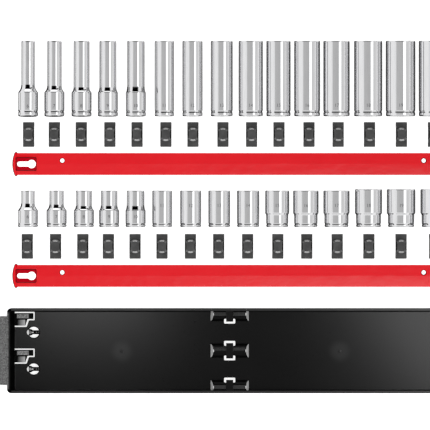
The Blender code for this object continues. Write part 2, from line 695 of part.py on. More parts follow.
def make_latch_mesh(material):
    """The tongue with its press pad and the ramp that stands behind the rail's stop."""
    outline = [(max(x, LATCH_ROOT_GAP), y) for x, y in latch_outline(0)]
    tongue = plate_mesh("latch_tongue", outline, -FLOOR_THICKNESS, 0)
    latch = add_mesh("latch_pattern", tongue, CUTTERS)
    pad_low = (LATCH_STEP + LATCH_TOP - PAD_WIDTH) / 2
    pad = box_mesh("latch_pad", (PAD_START, pad_low, -JOIN_OVERLAP),
                   (PAD_START + PAD_LENGTH, pad_low + PAD_WIDTH, PAD_HEIGHT))
    combine(latch, add_cutter("latch_pad", pad), "UNION")
    ramp_end = RAIL_NEAR_SPACE + STOP_ARC_RISE - LATCH_ROOT_PLACE - RAMP_STOP_GAP
    outline = [(RAMP_START, -JOIN_OVERLAP), (ramp_end, -JOIN_OVERLAP), (ramp_end, RAMP_HEIGHT),
               (RAMP_START, 0)]
    ramp_low = LATCH_STEP - RAMP_WIDTH - LATCH_SLIT / 2
    ramp = plate_mesh("latch_ramp", outline, -ramp_low - RAMP_WIDTH, -ramp_low)
    ramp.transform(Matrix.Rotation(math.pi / 2, 4, "X"))
    combine(latch, add_cutter("latch_ramp", ramp), "UNION")
    mesh = finished_mesh(latch)
    bpy.data.objects.remove(latch)
    mesh.name = "latch"
    mesh.materials.clear()
    mesh.materials.append(material)
    return mesh


def make_tray(y_middle, material):
    """The tray with its windows, ridges, lips and pegs, built at the origin and then set in its place."""
    outer = rounded_rectangle(TRAY_LENGTH, TRAY_WIDTH, TRAY_CORNER, TRAY_CORNER_STEPS)
    tray = add_mesh("tray", plate_mesh("tray", outer, 0, TRAY_HEIGHT), CUTTERS)
    combine(tray, add_cutter("tray_cavity", sloped_cavity_mesh()), "DIFFERENCE")
    under = rounded_rectangle(TRAY_LENGTH - 2 * TRAY_WALL, TRAY_WIDTH - 2 * TRAY_WALL,
                              TRAY_INNER_CORNER, TRAY_CORNER_STEPS)
    underside = plate_mesh("tray_underside", under, -CUT_OVERRUN, FLOOR_UNDERSIDE)
    combine(tray, add_cutter("tray_underside", underside), "DIFFERENCE")
    add_label_ledge(tray)
    add_bars(tray)
    add_lips(tray)
    for lane, y in (("back", LANE_OFFSET), ("front", -LANE_OFFSET)):
        window = plate_mesh("latch_window_" + lane, latch_outline(LATCH_SLIT),
                            FLOOR_UNDERSIDE - CUT_OVERRUN, FLOOR_TOP + CUT_OVERRUN)
        window.transform(Matrix.Translation((-TRAY_LENGTH / 2 + LATCH_ROOT_PLACE, y, 0)))
        combine(tray, add_cutter("latch_window_" + lane, window), "DIFFERENCE")
    add_pegs(tray)
    add_far_lips(tray)
    mesh = finished_mesh(tray)
    bpy.data.objects.remove(tray)
    mesh.materials.clear()
    mesh.materials.append(material)
    placed = add_mesh("tray", mesh, PARTS)
    placed.location = (TRAY_MIDDLE, y_middle, 0)


clear_scene()
PARTS = make_collection("socket_set_with_rail")
CUTTERS = make_collection("cutters")

chrome = make_material("polished_chrome", (0.74, 0.75, 0.76), 1.0, 0.12)
red = make_material("red_rail", (0.78, 0.02, 0.03), 0.0, 0.35)
dark_plastic = make_material("dark_clip_plastic", (0.07, 0.07, 0.07), 0.0, 0.5)
black_plastic = make_material("black_tray_plastic", (0.02, 0.02, 0.02), 0.0, 0.4)

# Rows from the tray, at the front, to the deep sockets, at the back
tray_y = TRAY_WIDTH / 2
shallow_rail_y = tray_y + TRAY_WIDTH / 2 + TRAY_TO_RAIL + STOP_WIDTH / 2
shallow_clip_y = shallow_rail_y + STOP_WIDTH / 2 + RAIL_TO_CLIPS + CLIP_SPAN / 2
shallow_y = shallow_clip_y + CLIP_SPAN / 2 + CLIPS_TO_SHALLOW
deep_rail_y = shallow_y + max(map(shallow_length, range(len(NUT_SIZES)))) + SHALLOW_TO_RAIL + STOP_WIDTH / 2
deep_clip_y = deep_rail_y + STOP_WIDTH / 2 + RAIL_TO_CLIPS + CLIP_SPAN / 2
deep_y = deep_clip_y + CLIP_SPAN / 2 + CLIPS_TO_DEEP
middle_y = (deep_y + deep_reach()) / 2

deep_widths = [2 * max(d / 2, deep_drive_radius(k)) for k, d in enumerate(DEEP_DIAMETERS)]
shallow_widths = [2 * max(d / 2, shallow_drive_radius(k)) for k, d in enumerate(SHALLOW_DIAMETERS)]
deep_places = row_places(deep_widths, DEEP_GAP_SHARES, DEEP_ROW_START)
shallow_places = row_places(shallow_widths, SHALLOW_GAP_SHARES, SHALLOW_ROW_START)

make_deep_sockets(deep_places, deep_y - middle_y, chrome)
make_shallow_sockets(shallow_places, shallow_y - middle_y, chrome)
clip_mesh = make_clip_mesh(dark_plastic)
make_clips("deep", deep_places, DEEP_CLIP_SHIFT_SHARES, deep_clip_y - middle_y, clip_mesh)
make_clips("shallow", shallow_places[:SHALLOW_CLIPS], SHALLOW_CLIP_SHIFT_SHARES,
           shallow_clip_y - middle_y, clip_mesh)

rail_mesh = make_rail_mesh(red)
for name, y in (("deep_socket_rail", deep_rail_y), ("shallow_socket_rail", shallow_rail_y)):
    rail = add_mesh(name, rail_mesh, PARTS)
    rail.location = (TRAY_LEFT + RAIL_START, y - middle_y, 0)

make_tray(tray_y - middle_y, black_plastic)
latch_mesh = make_latch_mesh(black_plastic)
for lane, y in (("back", LANE_OFFSET), ("front", -LANE_OFFSET)):
    latch = add_mesh(f"{lane}_latch", latch_mesh, PARTS)
    latch.location = (TRAY_LEFT + LATCH_ROOT_PLACE, tray_y - middle_y + y, FLOOR_TOP)
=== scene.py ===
"""Looks of the socket set with rail: chrome sockets, their clips, the red rails and the black tray."""

import math

import bpy
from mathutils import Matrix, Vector


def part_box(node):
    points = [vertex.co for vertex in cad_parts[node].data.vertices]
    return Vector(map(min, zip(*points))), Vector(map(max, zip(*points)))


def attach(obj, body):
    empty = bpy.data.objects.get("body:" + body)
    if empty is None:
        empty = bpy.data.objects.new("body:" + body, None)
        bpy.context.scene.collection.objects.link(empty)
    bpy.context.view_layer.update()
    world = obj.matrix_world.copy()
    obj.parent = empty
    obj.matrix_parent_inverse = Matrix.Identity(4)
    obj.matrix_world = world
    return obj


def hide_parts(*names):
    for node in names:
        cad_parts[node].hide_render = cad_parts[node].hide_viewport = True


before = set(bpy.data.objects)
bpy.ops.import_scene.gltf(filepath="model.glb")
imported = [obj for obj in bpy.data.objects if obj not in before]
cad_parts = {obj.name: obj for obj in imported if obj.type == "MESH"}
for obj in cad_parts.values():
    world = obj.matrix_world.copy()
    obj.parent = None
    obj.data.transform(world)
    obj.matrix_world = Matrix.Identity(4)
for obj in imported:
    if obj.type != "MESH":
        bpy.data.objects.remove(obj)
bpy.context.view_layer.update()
scene = bpy.context.scene


# The studio. The photograph looks straight down on a white bench, so the camera hangs far above
# the set with a long lens. The sky is a ring of long soft boxes that run along the sockets, with
# a white card and a dark gap on the side of their nut ends, which show on the shoulders.
VIEW_WIDTH = 0.3631
VIEW_HEIGHT = 6.0
VIEW_CENTRE = (-0.00887, 0.00165)
BENCH_SIZE = 60.0
# Name, place, aim, sides and watts
OVERHEAD_LAMP = ("overhead", (0, 0, 1.6), (0, 0, 0), (2.4, 2.4), 6)
# Degrees from overhead, towards the right end of the rows, and the brightness there
SKY_ACROSS = ((-180, 0.10), (-142, 0.10), (-136, 0.95), (-110, 0.95), (-104, 0.32), (-98, 0.32),
              (-92, 0.95), (-54, 1.00), (-46, 0.95), (-37, 0.92), (-33, 0.57), (19, 0.53), (23, 1.9),
              (37, 1.9), (43, 0.70), (72, 0.80), (80, 1.0), (98, 1.0), (102, 0.20), (115, 0.20), (119, 1.0),
              (136, 1.0), (142, 0.09), (180, 0.09))
# What a face that slopes up or down the rows shows the camera. Degrees of slope, up towards the nut
# ends, and the brightness there, for faces that lean between the two sides of the gap
SKY_SLOPES = ((-90, 0.75), (-15, 0.80), (-10, 1.1), (-3, 1.1), (4, 0.35), (5.0, 0.30), (6.2, 0.0), (31.5, 0.0),
              (33, 1.6), (90, 1.6))
# The slopes between which the view of the soft boxes gives way to it
SKY_LEVEL = (4.4, 5.0)
# How far a face leans to the right end, as a tangent, and how much of the gap shows there
SKY_GAP = ((-0.42, 0), (-0.38, 1), (0.26, 1), (0.30, 0))
# A slit of the gap that reaches on to the right: first and last lean, lowest and highest slope, and
# how fast these fall with the lean
SKY_SLIT = (0.26, 0.66, 26.5, 33, 12)
# Beside the gap: the lean and the brightness there
SKY_BESIDE = ((-3, 0.0), (-1.5, 0.0), (-1.3, 1.0), (0.68, 1.0), (0.74, 0.5), (0.82, 0.5), (0.88, 1.0), (3, 1.0))
# How far down a direction points where the skirt under the bench begins and is full, and its brightness
SKY_SKIRT = (-0.62, -0.72, 0.12)

bpy.ops.object.camera_add(location=(*VIEW_CENTRE, VIEW_HEIGHT), rotation=(0, 0, 0))
camera = bpy.context.object
camera.name = "camera"
camera.data.lens = camera.data.sensor_width * VIEW_HEIGHT / VIEW_WIDTH
camera.data.clip_end = 100
scene.camera = camera
scene.view_settings.view_transform = "Standard"


def feed(tree, socket, given):
    """Links a node's output to an input, or sets the input to a number, a grey or a colour."""
    if isinstance(given, bpy.types.NodeSocket):
        tree.links.new(given, socket)
    elif socket.type == "RGBA":
        tone = (given, given, given) if isinstance(given, (int, float)) else given
        socket.default_value = (*tone, 1)
    else:
        socket.default_value = given


def add_node(tree, kind, values=None, **settings):
    """One node with its settings, and what feeds its inputs."""
    made = tree.nodes.new(kind)
    for key, value in settings.items():
        setattr(made, key, value)
    for key, value in (values or {}).items():
        feed(tree, made.inputs[key], value)
    return made


def add_mix(tree, fac, first, second):
    """A colour mix: first where fac is 0, second where it is 1."""
    return add_node(tree, "ShaderNodeMix", {0: fac, 6: first, 7: second}, data_type="RGBA").outputs[2]


def add_sum(tree, operation, first, second=0.0, third=0.0):
    """A math node on sockets or plain numbers."""
    return add_node(tree, "ShaderNodeMath", {0: first, 1: second, 2: third}, operation=operation).outputs[0]


def add_range(tree, given, low, high, first=0.0, last=1.0, **settings):
    """Spreads a value from low to high over first to last, and holds it level beyond."""
    values = {"Value": given, "From Min": low, "From Max": high, "To Min": first, "To Max": last}
    return add_node(tree, "ShaderNodeMapRange", values, **settings).outputs["Result"]


def add_ramp(tree, given, reach, stops, unit=1.0):
    """A ramp of (value, grey) stops, for values that run from minus reach to reach."""
    made = add_node(tree, "ShaderNodeValToRGB",
                    {"Fac": add_sum(tree, "MULTIPLY_ADD", given, unit * 0.5 / reach, 0.5)})
    elements = made.color_ramp.elements
    elements.remove(elements[-1])
    for index, (value, tone) in enumerate(stops):
        place = (value + reach) / (2 * reach)
        stop = elements[0] if index == 0 else elements.new(place)
        stop.position = place
        stop.color = (tone, tone, tone, 1)
    return made.outputs["Color"]


world = bpy.data.worlds.new("studio_sky")
scene.world = world
world.use_nodes = True
sky = world.node_tree
way = add_node(sky, "ShaderNodeTexCoord").outputs["Generated"]
parts = add_node(sky, "ShaderNodeSeparateXYZ", {"Vector": way}).outputs
across = add_sum(sky, "ARCTAN2", parts["X"], parts["Z"])
boxes = add_ramp(sky, across, 180, SKY_ACROSS, math.degrees(1))
# The face that mirrors this direction to the camera: its lean to the right, and its slope in degrees
upright = add_sum(sky, "MAXIMUM", add_sum(sky, "ADD", parts["Z"], 1.0), 0.00001)
leans = add_sum(sky, "DIVIDE", parts["X"], upright)
slopes = add_sum(sky, "SQRT", add_sum(sky, "MULTIPLY", upright, 2.0))
slopes = add_sum(sky, "ARCSINE", add_sum(sky, "DIVIDE", parts["Y"], slopes))
slopes = add_sum(sky, "DEGREES", slopes)
first, last, lowest, highest, fall = SKY_SLIT
slit = add_sum(sky, "COMPARE", leans, (first + last) / 2, (last - first) / 2)
slanted = add_sum(sky, "MULTIPLY_ADD", leans, fall, slopes)
slanted = add_sum(sky, "COMPARE", slanted, (lowest + highest) / 2, (highest - lowest) / 2)
beside = add_mix(sky, add_sum(sky, "MULTIPLY", slit, slanted), add_ramp(sky, leans, 3, SKY_BESIDE), 0.0)
beside = add_mix(sky, add_ramp(sky, leans, 3, SKY_GAP), beside, add_ramp(sky, slopes, 90, SKY_SLOPES))
start, full, depth = SKY_SKIRT
beside = add_mix(sky, add_range(sky, parts["Z"], start, full, 1.0, depth), 0.0, beside)
tilted = add_range(sky, add_sum(sky, "ABSOLUTE", slopes), *SKY_LEVEL, interpolation_type="SMOOTHSTEP")
feed(sky, sky.nodes["Background"].inputs["Color"], add_mix(sky, tilted, boxes, beside))


def hang_lamp(name, place, aim, sides, power):
    """A soft rectangular lamp that points at aim."""
    bpy.ops.object.light_add(type="AREA", location=place)
    lamp = bpy.context.object
    lamp.name = name
    lamp.rotation_euler = (Vector(aim) - Vector(place)).to_track_quat("-Z", "Y").to_euler()
    lamp.data.shape = "RECTANGLE"
    lamp.data.size, lamp.data.size_y = sides
    lamp.data.energy = power
    return lamp


def gleam_on(lamp, pieces):
    """Makes a lamp show only as a gleam, and only on these pieces."""
    lit_by_it = bpy.data.collections.new(lamp.name)
    for piece in pieces:
        lit_by_it.objects.link(piece)
    lamp.light_linking.receiver_collection = lit_by_it
    lamp.visible_diffuse = False


def new_material(name, **values):
    """A material with plain values on its own shader: underscores in a name stand for spaces."""
    made = bpy.data.materials.new(name)
    made.use_nodes = True
    shader = made.node_tree.nodes["Principled BSDF"].inputs
    for key, value in values.items():
        shader[key.replace("_", " ")].default_value = value
    return made, made.node_tree, shader


overhead = hang_lamp(*OVERHEAD_LAMP)
overhead.visible_glossy = False
bpy.ops.mesh.primitive_plane_add(size=BENCH_SIZE)
bench = bpy.context.object
bench.name = "bench"
bench.visible_glossy = False
bench.visible_diffuse = False
bench_paint, tree, shader = new_material(
    "white_bench", Base_Color=(0.9, 0.9, 0.9, 1), Roughness=1.0, Specular_IOR_Level=0.0,
    Emission_Color=(1, 1, 1, 1), Emission_Strength=0.85)
bench.data.materials.append(bench_paint)


# Deep sockets, 6 to 20 mm for a 3/8 inch drive. Each is turned from chrome vanadium bar, broached
# with a hexagon and a square, then polished and plated. The five smallest are necked down to the
# nut. They lie on their sides, and a necked one tips until its nut end touches the bench.
NUT_SIZES = tuple(n / 1000 for n in range(6, 21))
NUT_FIT = 0.0001
DRIVE_SQUARE = 0.00963
DRIVE_DEPTH = 0.0110
DRIVE_END_DIAMETER = 0.0169
NECKED_SOCKETS = 5
LATHE_STEPS = 64
# How far a cutting shape runs past what it cuts
OVERRUN = 0.001
MOUTH_CHAMFER = 0.0005
# How far the bore, the hexagon and the square run into each other
BORE_OVERLAP = 0.0006
# The square's lead-in: its radius at the face and inside, in half squares
SQUARE_LEAD = (1.32, 1.12)
# How far inside the barrel's radius, and how far from the end: the drive end's rim, the nut end's mouth
RIM_CURVE = ((0.00100, 0), (0.00055, 0.00008), (0.00022, 0.00034), (0.00005, 0.00075), (0, 0.00120), (0, 0.00150))
MOUTH_CURVE = ((0, 0.00110), (0, 0.00070), (0.00006, 0.00035), (0.00022, 0.00012), (0.00045, 0))
GROOVE_DEPTH = 0.00042
DEEP_LENGTH = 0.0635
DEEP_NECKS = (0.0116, 0.0123, 0.0134, 0.0143, 0.0148)
# Where a necked socket touches the bench when it has tipped
DEEP_SHOULDER_FOOT = 0.0215
DEEP_BROW = 0.0198
BROW_RADIUS = 0.0010
BROW_STEPS = (0.0, 0.2, 0.4, 0.6, 0.8, 1.0)
# The shoulder of each necked socket: the slope of its short cone in degrees, then how far in and how
# long the hollow flare is that runs on to the nut end
SHOULDERS = ((35, 0.00100, 0.0040), (38, 0.00095, 0.0037), (42, 0.00085, 0.0032), (38, 0.00072, 0.0036),
             (38, 0.00060, 0.0050))
FLARE_STEPS = (0.0, 0.05, 0.12, 0.25, 0.40, 0.55, 0.70, 0.85, 0.95, 1.0)
DEEP_HEX_DEPTH = 0.0200
DEEP_BORE_SHARE = 0.96
# Middle and width
DEEP_GROOVE = (0.0039, 0.0019)
CHROME_TINT = (0.79, 0.79, 0.80)
ETCH_TINT = (0.16, 0.16, 0.165)
DEEP_NUMBER_PLACE = 0.0090
NUMBER_SIZE = 0.0040


def enter_edit():
    bpy.ops.object.mode_set(mode="EDIT")


def leave_edit():
    bpy.ops.object.mode_set(mode="OBJECT")


def deselect():
    if bpy.context.mode != "OBJECT":
        leave_edit()
    bpy.ops.object.select_all(action="DESELECT")


def pick_up(piece):
    """Makes the piece the only one selected, and active."""
    deselect()
    piece.select_set(True)
    bpy.context.view_layer.objects.active = piece


def turn_on_lathe(name, stations, steps):
    """A closed turned body on the Z axis, from (radius, height) stations, foot first."""
    deselect()
    radius, height = stations[0]
    bpy.ops.mesh.primitive_circle_add(vertices=steps, radius=radius, fill_type="NGON", location=(0, 0, height))
    turned = bpy.context.object
    turned.name = name
    bpy.ops.object.transform_apply(location=True)
    enter_edit()
    for (last, low), (wide, high) in zip(stations, stations[1:]):
        bpy.ops.mesh.extrude_region_move(TRANSFORM_OT_translate={"value": (0, 0, high - low)})
        bpy.ops.transform.resize(value=(wide / last, wide / last, 1))
    bpy.ops.mesh.select_all(action="SELECT")
    bpy.ops.mesh.normals_make_consistent(inside=False)
    leave_edit()
    return turned


def combine(piece, other, operation="UNION"):
    """Cuts the other shape from the piece, or joins it on, and clears the other shape away."""
    pick_up(piece)
    boolean = piece.modifiers.new("combine", "BOOLEAN")
    boolean.operation = operation
    boolean.solver = "MANIFOLD"
    boolean.object = other
    bpy.ops.object.modifier_apply(modifier="combine")
    while piece.data.materials and piece.data.materials[-1] is None:
        piece.data.materials.pop()
    bpy.data.objects.remove(other)


def carve(piece, other):
    combine(piece, other, "DIFFERENCE")


def add_cylinder(radius, low, high, steps, mouth=None):
    """An upright cylinder or, with a mouth radius at its top, a cone. One corner is on +Y."""
    deselect()
    bpy.ops.mesh.primitive_cone_add(vertices=steps, radius1=radius, radius2=radius if mouth is None else mouth,
                                    depth=high - low, location=(0, 0, (low + high) / 2))
    bpy.ops.object.transform_apply(location=True)
    return bpy.context.object


def move_to(piece, place):
    """Moves the selected piece, and keeps the move in its mesh."""
    piece.location = place
    bpy.ops.object.transform_apply(location=True)


def add_block(low, high):
    """A cube stretched between two corners."""
    deselect()
    bpy.ops.mesh.primitive_cube_add(size=1, location=[(a + b) / 2 for a, b in zip(low, high)])
    bpy.context.object.scale = [b - a for a, b in zip(low, high)]
    bpy.ops.object.transform_apply(location=True, scale=True)
    return bpy.context.object


def smooth(piece, degrees=30):
    """Smooth shading in which the broad faces keep their own normals and the rounded edges turn."""
    pick_up(piece)
    bpy.ops.object.shade_smooth_by_angle(angle=math.radians(degrees))
    weighted = piece.modifiers.new("weighted", "WEIGHTED_NORMAL")
    weighted.keep_sharp = True
    bpy.ops.object.modifier_apply(modifier="weighted")


def barrel_stations(radius, groove):
    """The drive end: a rounded rim, then the groove for a finger to find the end by."""
    middle, width = groove
    half = width / 2
    floor = radius - GROOVE_DEPTH
    rim = [(radius - inset, height) for inset, height in RIM_CURVE]
    return rim + [(radius, middle - half - 0.00012), (radius - 0.00008, middle - half),
                  (floor + 0.00010, middle - 0.35 * half), (floor, middle - 0.1 * half),
                  (floor, middle + 0.1 * half), (floor + 0.00010, middle + 0.35 * half),
                  (radius - 0.00008, middle + half), (radius, middle + half + 0.00012),
                  (radius, middle + half + 0.00040)]


def mouth_stations(radius, length):
    """The nut end's small rounded edge."""
    return [(radius - inset, length - back) for inset, back in MOUTH_CURVE]


def broach(socket, size, length, hexagon_foot, bore_share):
    """Cuts the hexagon with its lead-in, the bore, and the drive square with its own."""
    across_flats = size + NUT_FIT
    corner = across_flats / 2 / math.cos(math.pi / 6)
    carve(socket, add_cylinder(corner, hexagon_foot, length + OVERRUN, 6))
    carve(socket, add_cylinder(corner - 0.0009, length - 0.0010, length + 0.0002, 48,
                               corner + MOUTH_CHAMFER - 0.0002))
    if bore_share:
        carve(socket, add_cylinder(across_flats / 2 * bore_share, DRIVE_DEPTH - BORE_OVERLAP,
                                   hexagon_foot + BORE_OVERLAP, 32))
    half = DRIVE_SQUARE / 2
    at_face, inside = SQUARE_LEAD
    carve(socket, add_block((-half, -half, -OVERRUN), (half, half, DRIVE_DEPTH)))
    carve(socket, add_cylinder(half * at_face, -0.0003, 0.0007, 48, half * inside))


def etch_number(socket, number, place, y):
    """A plain size number, drawn flat above the lying socket, dropped on to its skin and joined to it."""
    deselect()
    bpy.ops.object.text_add(location=(place, y, 0.05))
    mark = bpy.context.object
    mark.data.body = number
    mark.data.size = NUMBER_SIZE
    mark.data.align_x = "CENTER"
    mark.data.align_y = "CENTER"
    bpy.ops.object.convert(target="MESH")
    mark = bpy.context.object
    bpy.ops.object.transform_apply(location=True)
    enter_edit()
    bpy.ops.mesh.select_all(action="SELECT")
    bpy.ops.mesh.quads_convert_to_tris()
    bpy.ops.mesh.subdivide(number_cuts=3)
    leave_edit()
    wrap = mark.modifiers.new("wrap", "SHRINKWRAP")
    wrap.wrap_method = "PROJECT"
    wrap.use_project_z = True
    wrap.use_negative_direction = True
    wrap.use_positive_direction = False
    wrap.target = socket
    wrap.offset = 0.00002
    bpy.ops.object.modifier_apply(modifier="wrap")
    mark.data.materials.clear()
    mark.data.materials.append(etch)
    pick_up(socket)
    mark.select_set(True)
    bpy.ops.object.join()


def lay_down(socket, node, drive_radius, lean, height):
    """Lays a socket on its side in its CAD node's place, with its nut end to +Y."""
    low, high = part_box(node)
    pick_up(socket)
    socket.rotation_euler = (-math.pi / 2 - lean, 0, 0)
    socket.location = ((low[0] + high[0]) / 2, low[1] + drive_radius * math.sin(lean), height)
    bpy.ops.object.transform_apply(location=True, rotation=True)


def new_group(name, inputs, outputs):
    """An empty effect group: inputs are (name, starting value), and all its outputs are values."""
    made = bpy.data.node_groups.new(name, "ShaderNodeTree")
    for label, start in inputs:
        socket = made.interface.new_socket(name=label, in_out="INPUT", socket_type="NodeSocketFloat")
        socket.default_value = start
    for label in outputs:
        made.interface.new_socket(name=label, in_out="OUTPUT", socket_type="NodeSocketFloat")
    return made, add_node(made, "NodeGroupInput").outputs, add_node(made, "NodeGroupOutput").inputs


def object_place(tree):
    return add_node(tree, "ShaderNodeTexCoord").outputs["Object"]


def add_noise(tree, place, scale, detail, **more):
    """Noise over a place, as a value from 0 to 1."""
    values = {"Vector": place, "Scale": scale, "Detail": detail, **more}
    return add_node(tree, "ShaderNodeTexNoise", values).outputs["Fac"]


def add_bump(tree, shader, height, strength, distance):
    bump = add_node(tree, "ShaderNodeBump", {"Height": height, "Strength": strength, "Distance": distance})
    feed(tree, shader["Normal"], bump.outputs["Normal"])


# Fine scratches and fingerprints that any handled surface has: a mask of marks, and one of smears
handling, given, result = new_group("handling_marks", (("Scale", 60.0), ("Stretch", 1.0), ("Amount", 0.5)),
                                    ("Marks", "Smears"))
own = object_place(handling)
stretch = add_node(handling, "ShaderNodeCombineXYZ", {"X": 1.0, "Y": given["Stretch"], "Z": 1.0})
drawn = add_node(handling, "ShaderNodeVectorMath", {0: own, 1: stretch.outputs["Vector"]}, operation="MULTIPLY")
marks = add_noise(handling, drawn.outputs["Vector"], add_sum(handling, "MULTIPLY", given["Scale"], 12.0), 6.0,
                  Roughness=0.65)
smears = add_noise(handling, own, given["Scale"], 3.0, Distortion=0.6)
for source, output, low, high in ((marks, "Marks", 0.45, 0.75), (smears, "Smears", 0.40, 0.70)):
    cut = add_range(handling, source, low, high)
    feed(handling, result[output], add_sum(handling, "MULTIPLY", cut, given["Amount"]))

chrome, tree, shader = new_material("polished_chrome", Metallic=1.0)
worn = add_node(tree, "ShaderNodeGroup", {"Scale": 55.0, "Stretch": 0.12, "Amount": 1.0}, node_tree=handling).outputs
feed(tree, shader["Base Color"], add_mix(tree, worn["Marks"], CHROME_TINT, tuple(0.93 * c for c in CHROME_TINT)))
feed(tree, shader["Roughness"], add_sum(tree, "MULTIPLY_ADD", worn["Smears"], 0.05, 0.055))
longways = add_node(tree, "ShaderNodeMapping", {"Vector": object_place(tree), "Scale": (1.0, 0.16, 1.0)})
add_bump(tree, shader, add_noise(tree, longways.outputs["Vector"], 240.0, 2.0), 0.06, 0.00005)

etch, tree, shader = new_material("etched_number", Metallic=1.0)
worn = add_node(tree, "ShaderNodeGroup", {"Scale": 90.0, "Stretch": 1.0, "Amount": 1.0}, node_tree=handling).outputs
feed(tree, shader["Base Color"], add_mix(tree, worn["Marks"], ETCH_TINT, tuple(1.6 * c for c in ETCH_TINT)))
feed(tree, shader["Roughness"], add_sum(tree, "MULTIPLY_ADD", worn["Marks"], 0.15, 0.45))


def necked_barrel(name, nut_radius, length, brow, shoulder, groove):
    """A socket slimmer at its nut end: a rounded brow, a short cone and a hollow flare."""
    slope, flare_in, flare_length = shoulder
    steep = math.radians(slope)
    drive_radius = DRIVE_END_DIAMETER / 2
    stations = barrel_stations(drive_radius, groove)
    stations.append((drive_radius, brow - 0.0004))
    for turn in BROW_STEPS:
        stations.append((drive_radius - BROW_RADIUS * (1 - math.cos(turn * steep)),
                         brow + BROW_RADIUS * math.sin(turn * steep)))
    radius, height = stations[-1]
    height += (radius - nut_radius - flare_in) / math.tan(steep)
    for share in FLARE_STEPS:
        stations.append((nut_radius + flare_in * (1 - share) ** 2, height + flare_length * share))
    stations.append((nut_radius, height + flare_length + 0.0004))
    return turn_on_lathe(name, stations + mouth_stations(nut_radius, length), LATHE_STEPS)


for column, size in enumerate(NUT_SIZES):
    node = f"deep_socket_{round(size * 1000):02d}mm"
    low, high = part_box(node)
    lean = 0.0
    if column < NECKED_SOCKETS:
        drive_radius = DRIVE_END_DIAMETER / 2
        nut_radius = DEEP_NECKS[column] / 2
        lean = math.atan2(drive_radius - nut_radius, DEEP_LENGTH - DEEP_SHOULDER_FOOT)
        socket = necked_barrel(node + "_chrome", nut_radius, DEEP_LENGTH, DEEP_BROW, SHOULDERS[column], DEEP_GROOVE)
    else:
        drive_radius = (high[0] - low[0]) / 2
        socket = turn_on_lathe(node + "_chrome", barrel_stations(drive_radius, DEEP_GROOVE)
                               + mouth_stations(drive_radius, DEEP_LENGTH), LATHE_STEPS)
    broach(socket, size, DEEP_LENGTH, DEEP_LENGTH - DEEP_HEX_DEPTH, DEEP_BORE_SHARE)
    socket.data.materials.append(chrome)
    height = drive_radius * math.cos(lean) + DEEP_SHOULDER_FOOT * math.sin(lean)
    lay_down(socket, node, drive_radius, lean, height)
    smooth(socket)
    etch_number(socket, str(round(size * 1000)), (low[0] + high[0]) / 2, low[1] + DEEP_NUMBER_PLACE)
    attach(socket, node)
    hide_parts(node)


# Shallow sockets, 6 to 20 mm, of the same make. The five smallest have a shoulder like the deep
# ones, the six largest step in to a slightly smaller drive end, and the last three are longer.
SHALLOW_LENGTH = 0.0307
SHALLOW_LONG_LENGTH = 0.0318
SHALLOW_LONG_FROM = 12
SHALLOW_NECKS = (0.0115, 0.0121, 0.0135, 0.0139, 0.0148)
SHALLOW_BROW = 0.0136
SHALLOW_STEPPED_FROM = 9
SHALLOW_STEP_SHARE = 0.92
SHALLOW_STEP_FOOT = 0.0106
SHALLOW_STEP_RISE = 0.0011
# The step's curve: share of the way out, place in rises from its foot
STEP_CURVE = ((0.22, 0.1), (0.60, 0.55), (0.84, 0.85), (0.96, 1.10))
# Middle and width
SHALLOW_GROOVE = (0.0024, 0.0013)
# Where the number stands, on a necked socket's drive end and on the others
SHALLOW_NUMBER_PLACES = (0.0085, 0.0180)


def stepped_barrel(name, nut_radius, drive_radius, length, foot, rise, groove):
    """A socket that steps in to its drive end through a short rounded cone."""
    reach = nut_radius - drive_radius
    stations = barrel_stations(drive_radius, groove)
    stations += [(drive_radius, foot - 0.0010), (drive_radius + 0.06 * reach, foot - 0.0003)]
    stations += [(drive_radius + out * reach, foot + along * rise) for out, along in STEP_CURVE]
    stations += [(nut_radius, foot + 1.45 * rise), (nut_radius, foot + 1.45 * rise + 0.0004)]
    return turn_on_lathe(name, stations + mouth_stations(nut_radius, length), LATHE_STEPS)


for column, size in enumerate(NUT_SIZES):
    node = f"shallow_socket_{round(size * 1000):02d}mm"
    low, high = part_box(node)
    length = SHALLOW_LONG_LENGTH if column >= SHALLOW_LONG_FROM else SHALLOW_LENGTH
    widest = (high[0] - low[0]) / 2
    number_place = SHALLOW_NUMBER_PLACES[1]
    if column < NECKED_SOCKETS:
        number_place = SHALLOW_NUMBER_PLACES[0]
        socket = necked_barrel(node + "_chrome", SHALLOW_NECKS[column] / 2, length, SHALLOW_BROW, SHOULDERS[column],
                               SHALLOW_GROOVE)
    elif column < SHALLOW_STEPPED_FROM:
        socket = turn_on_lathe(node + "_chrome", barrel_stations(widest, SHALLOW_GROOVE)
                               + mouth_stations(widest, length), LATHE_STEPS)
    else:
        socket = stepped_barrel(node + "_chrome", widest, widest * SHALLOW_STEP_SHARE, length,
                                SHALLOW_STEP_FOOT, SHALLOW_STEP_RISE, SHALLOW_GROOVE)
    broach(socket, size, length, DRIVE_DEPTH - BORE_OVERLAP, 0)
    socket.data.materials.append(chrome)
    lay_down(socket, node, 0, 0, widest)
    smooth(socket)
    etch_number(socket, str(round(size * 1000)), (low[0] + high[0]) / 2, low[1] + number_place)
    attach(socket, node)
    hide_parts(node)


# Clips. Each is one moulding in dark grey nylon: a saddle whose two legs hook under the rail's
# flange, and a slotted stud with two flats that springs into a socket's drive square. The last
# five of the shallow row lie on the bench with the others, but have no node of their own.
CLIP_WIDTH = 0.0095
CLIP_LIP_THICKNESS = 0.0012
CLIP_CEILING = 0.0039
CLIP_TOP = 0.0055
CLIP_THROAT = 0.00655
CLIP_INSIDE = 0.00955
CLIP_EDGE = 0.00028
# Half the stud's width at its foot and its top, and where its flats begin to lean in
STUD_FLATS = (0.0046, 0.0033, 0.0060)
STUD_HEIGHT = 0.0095
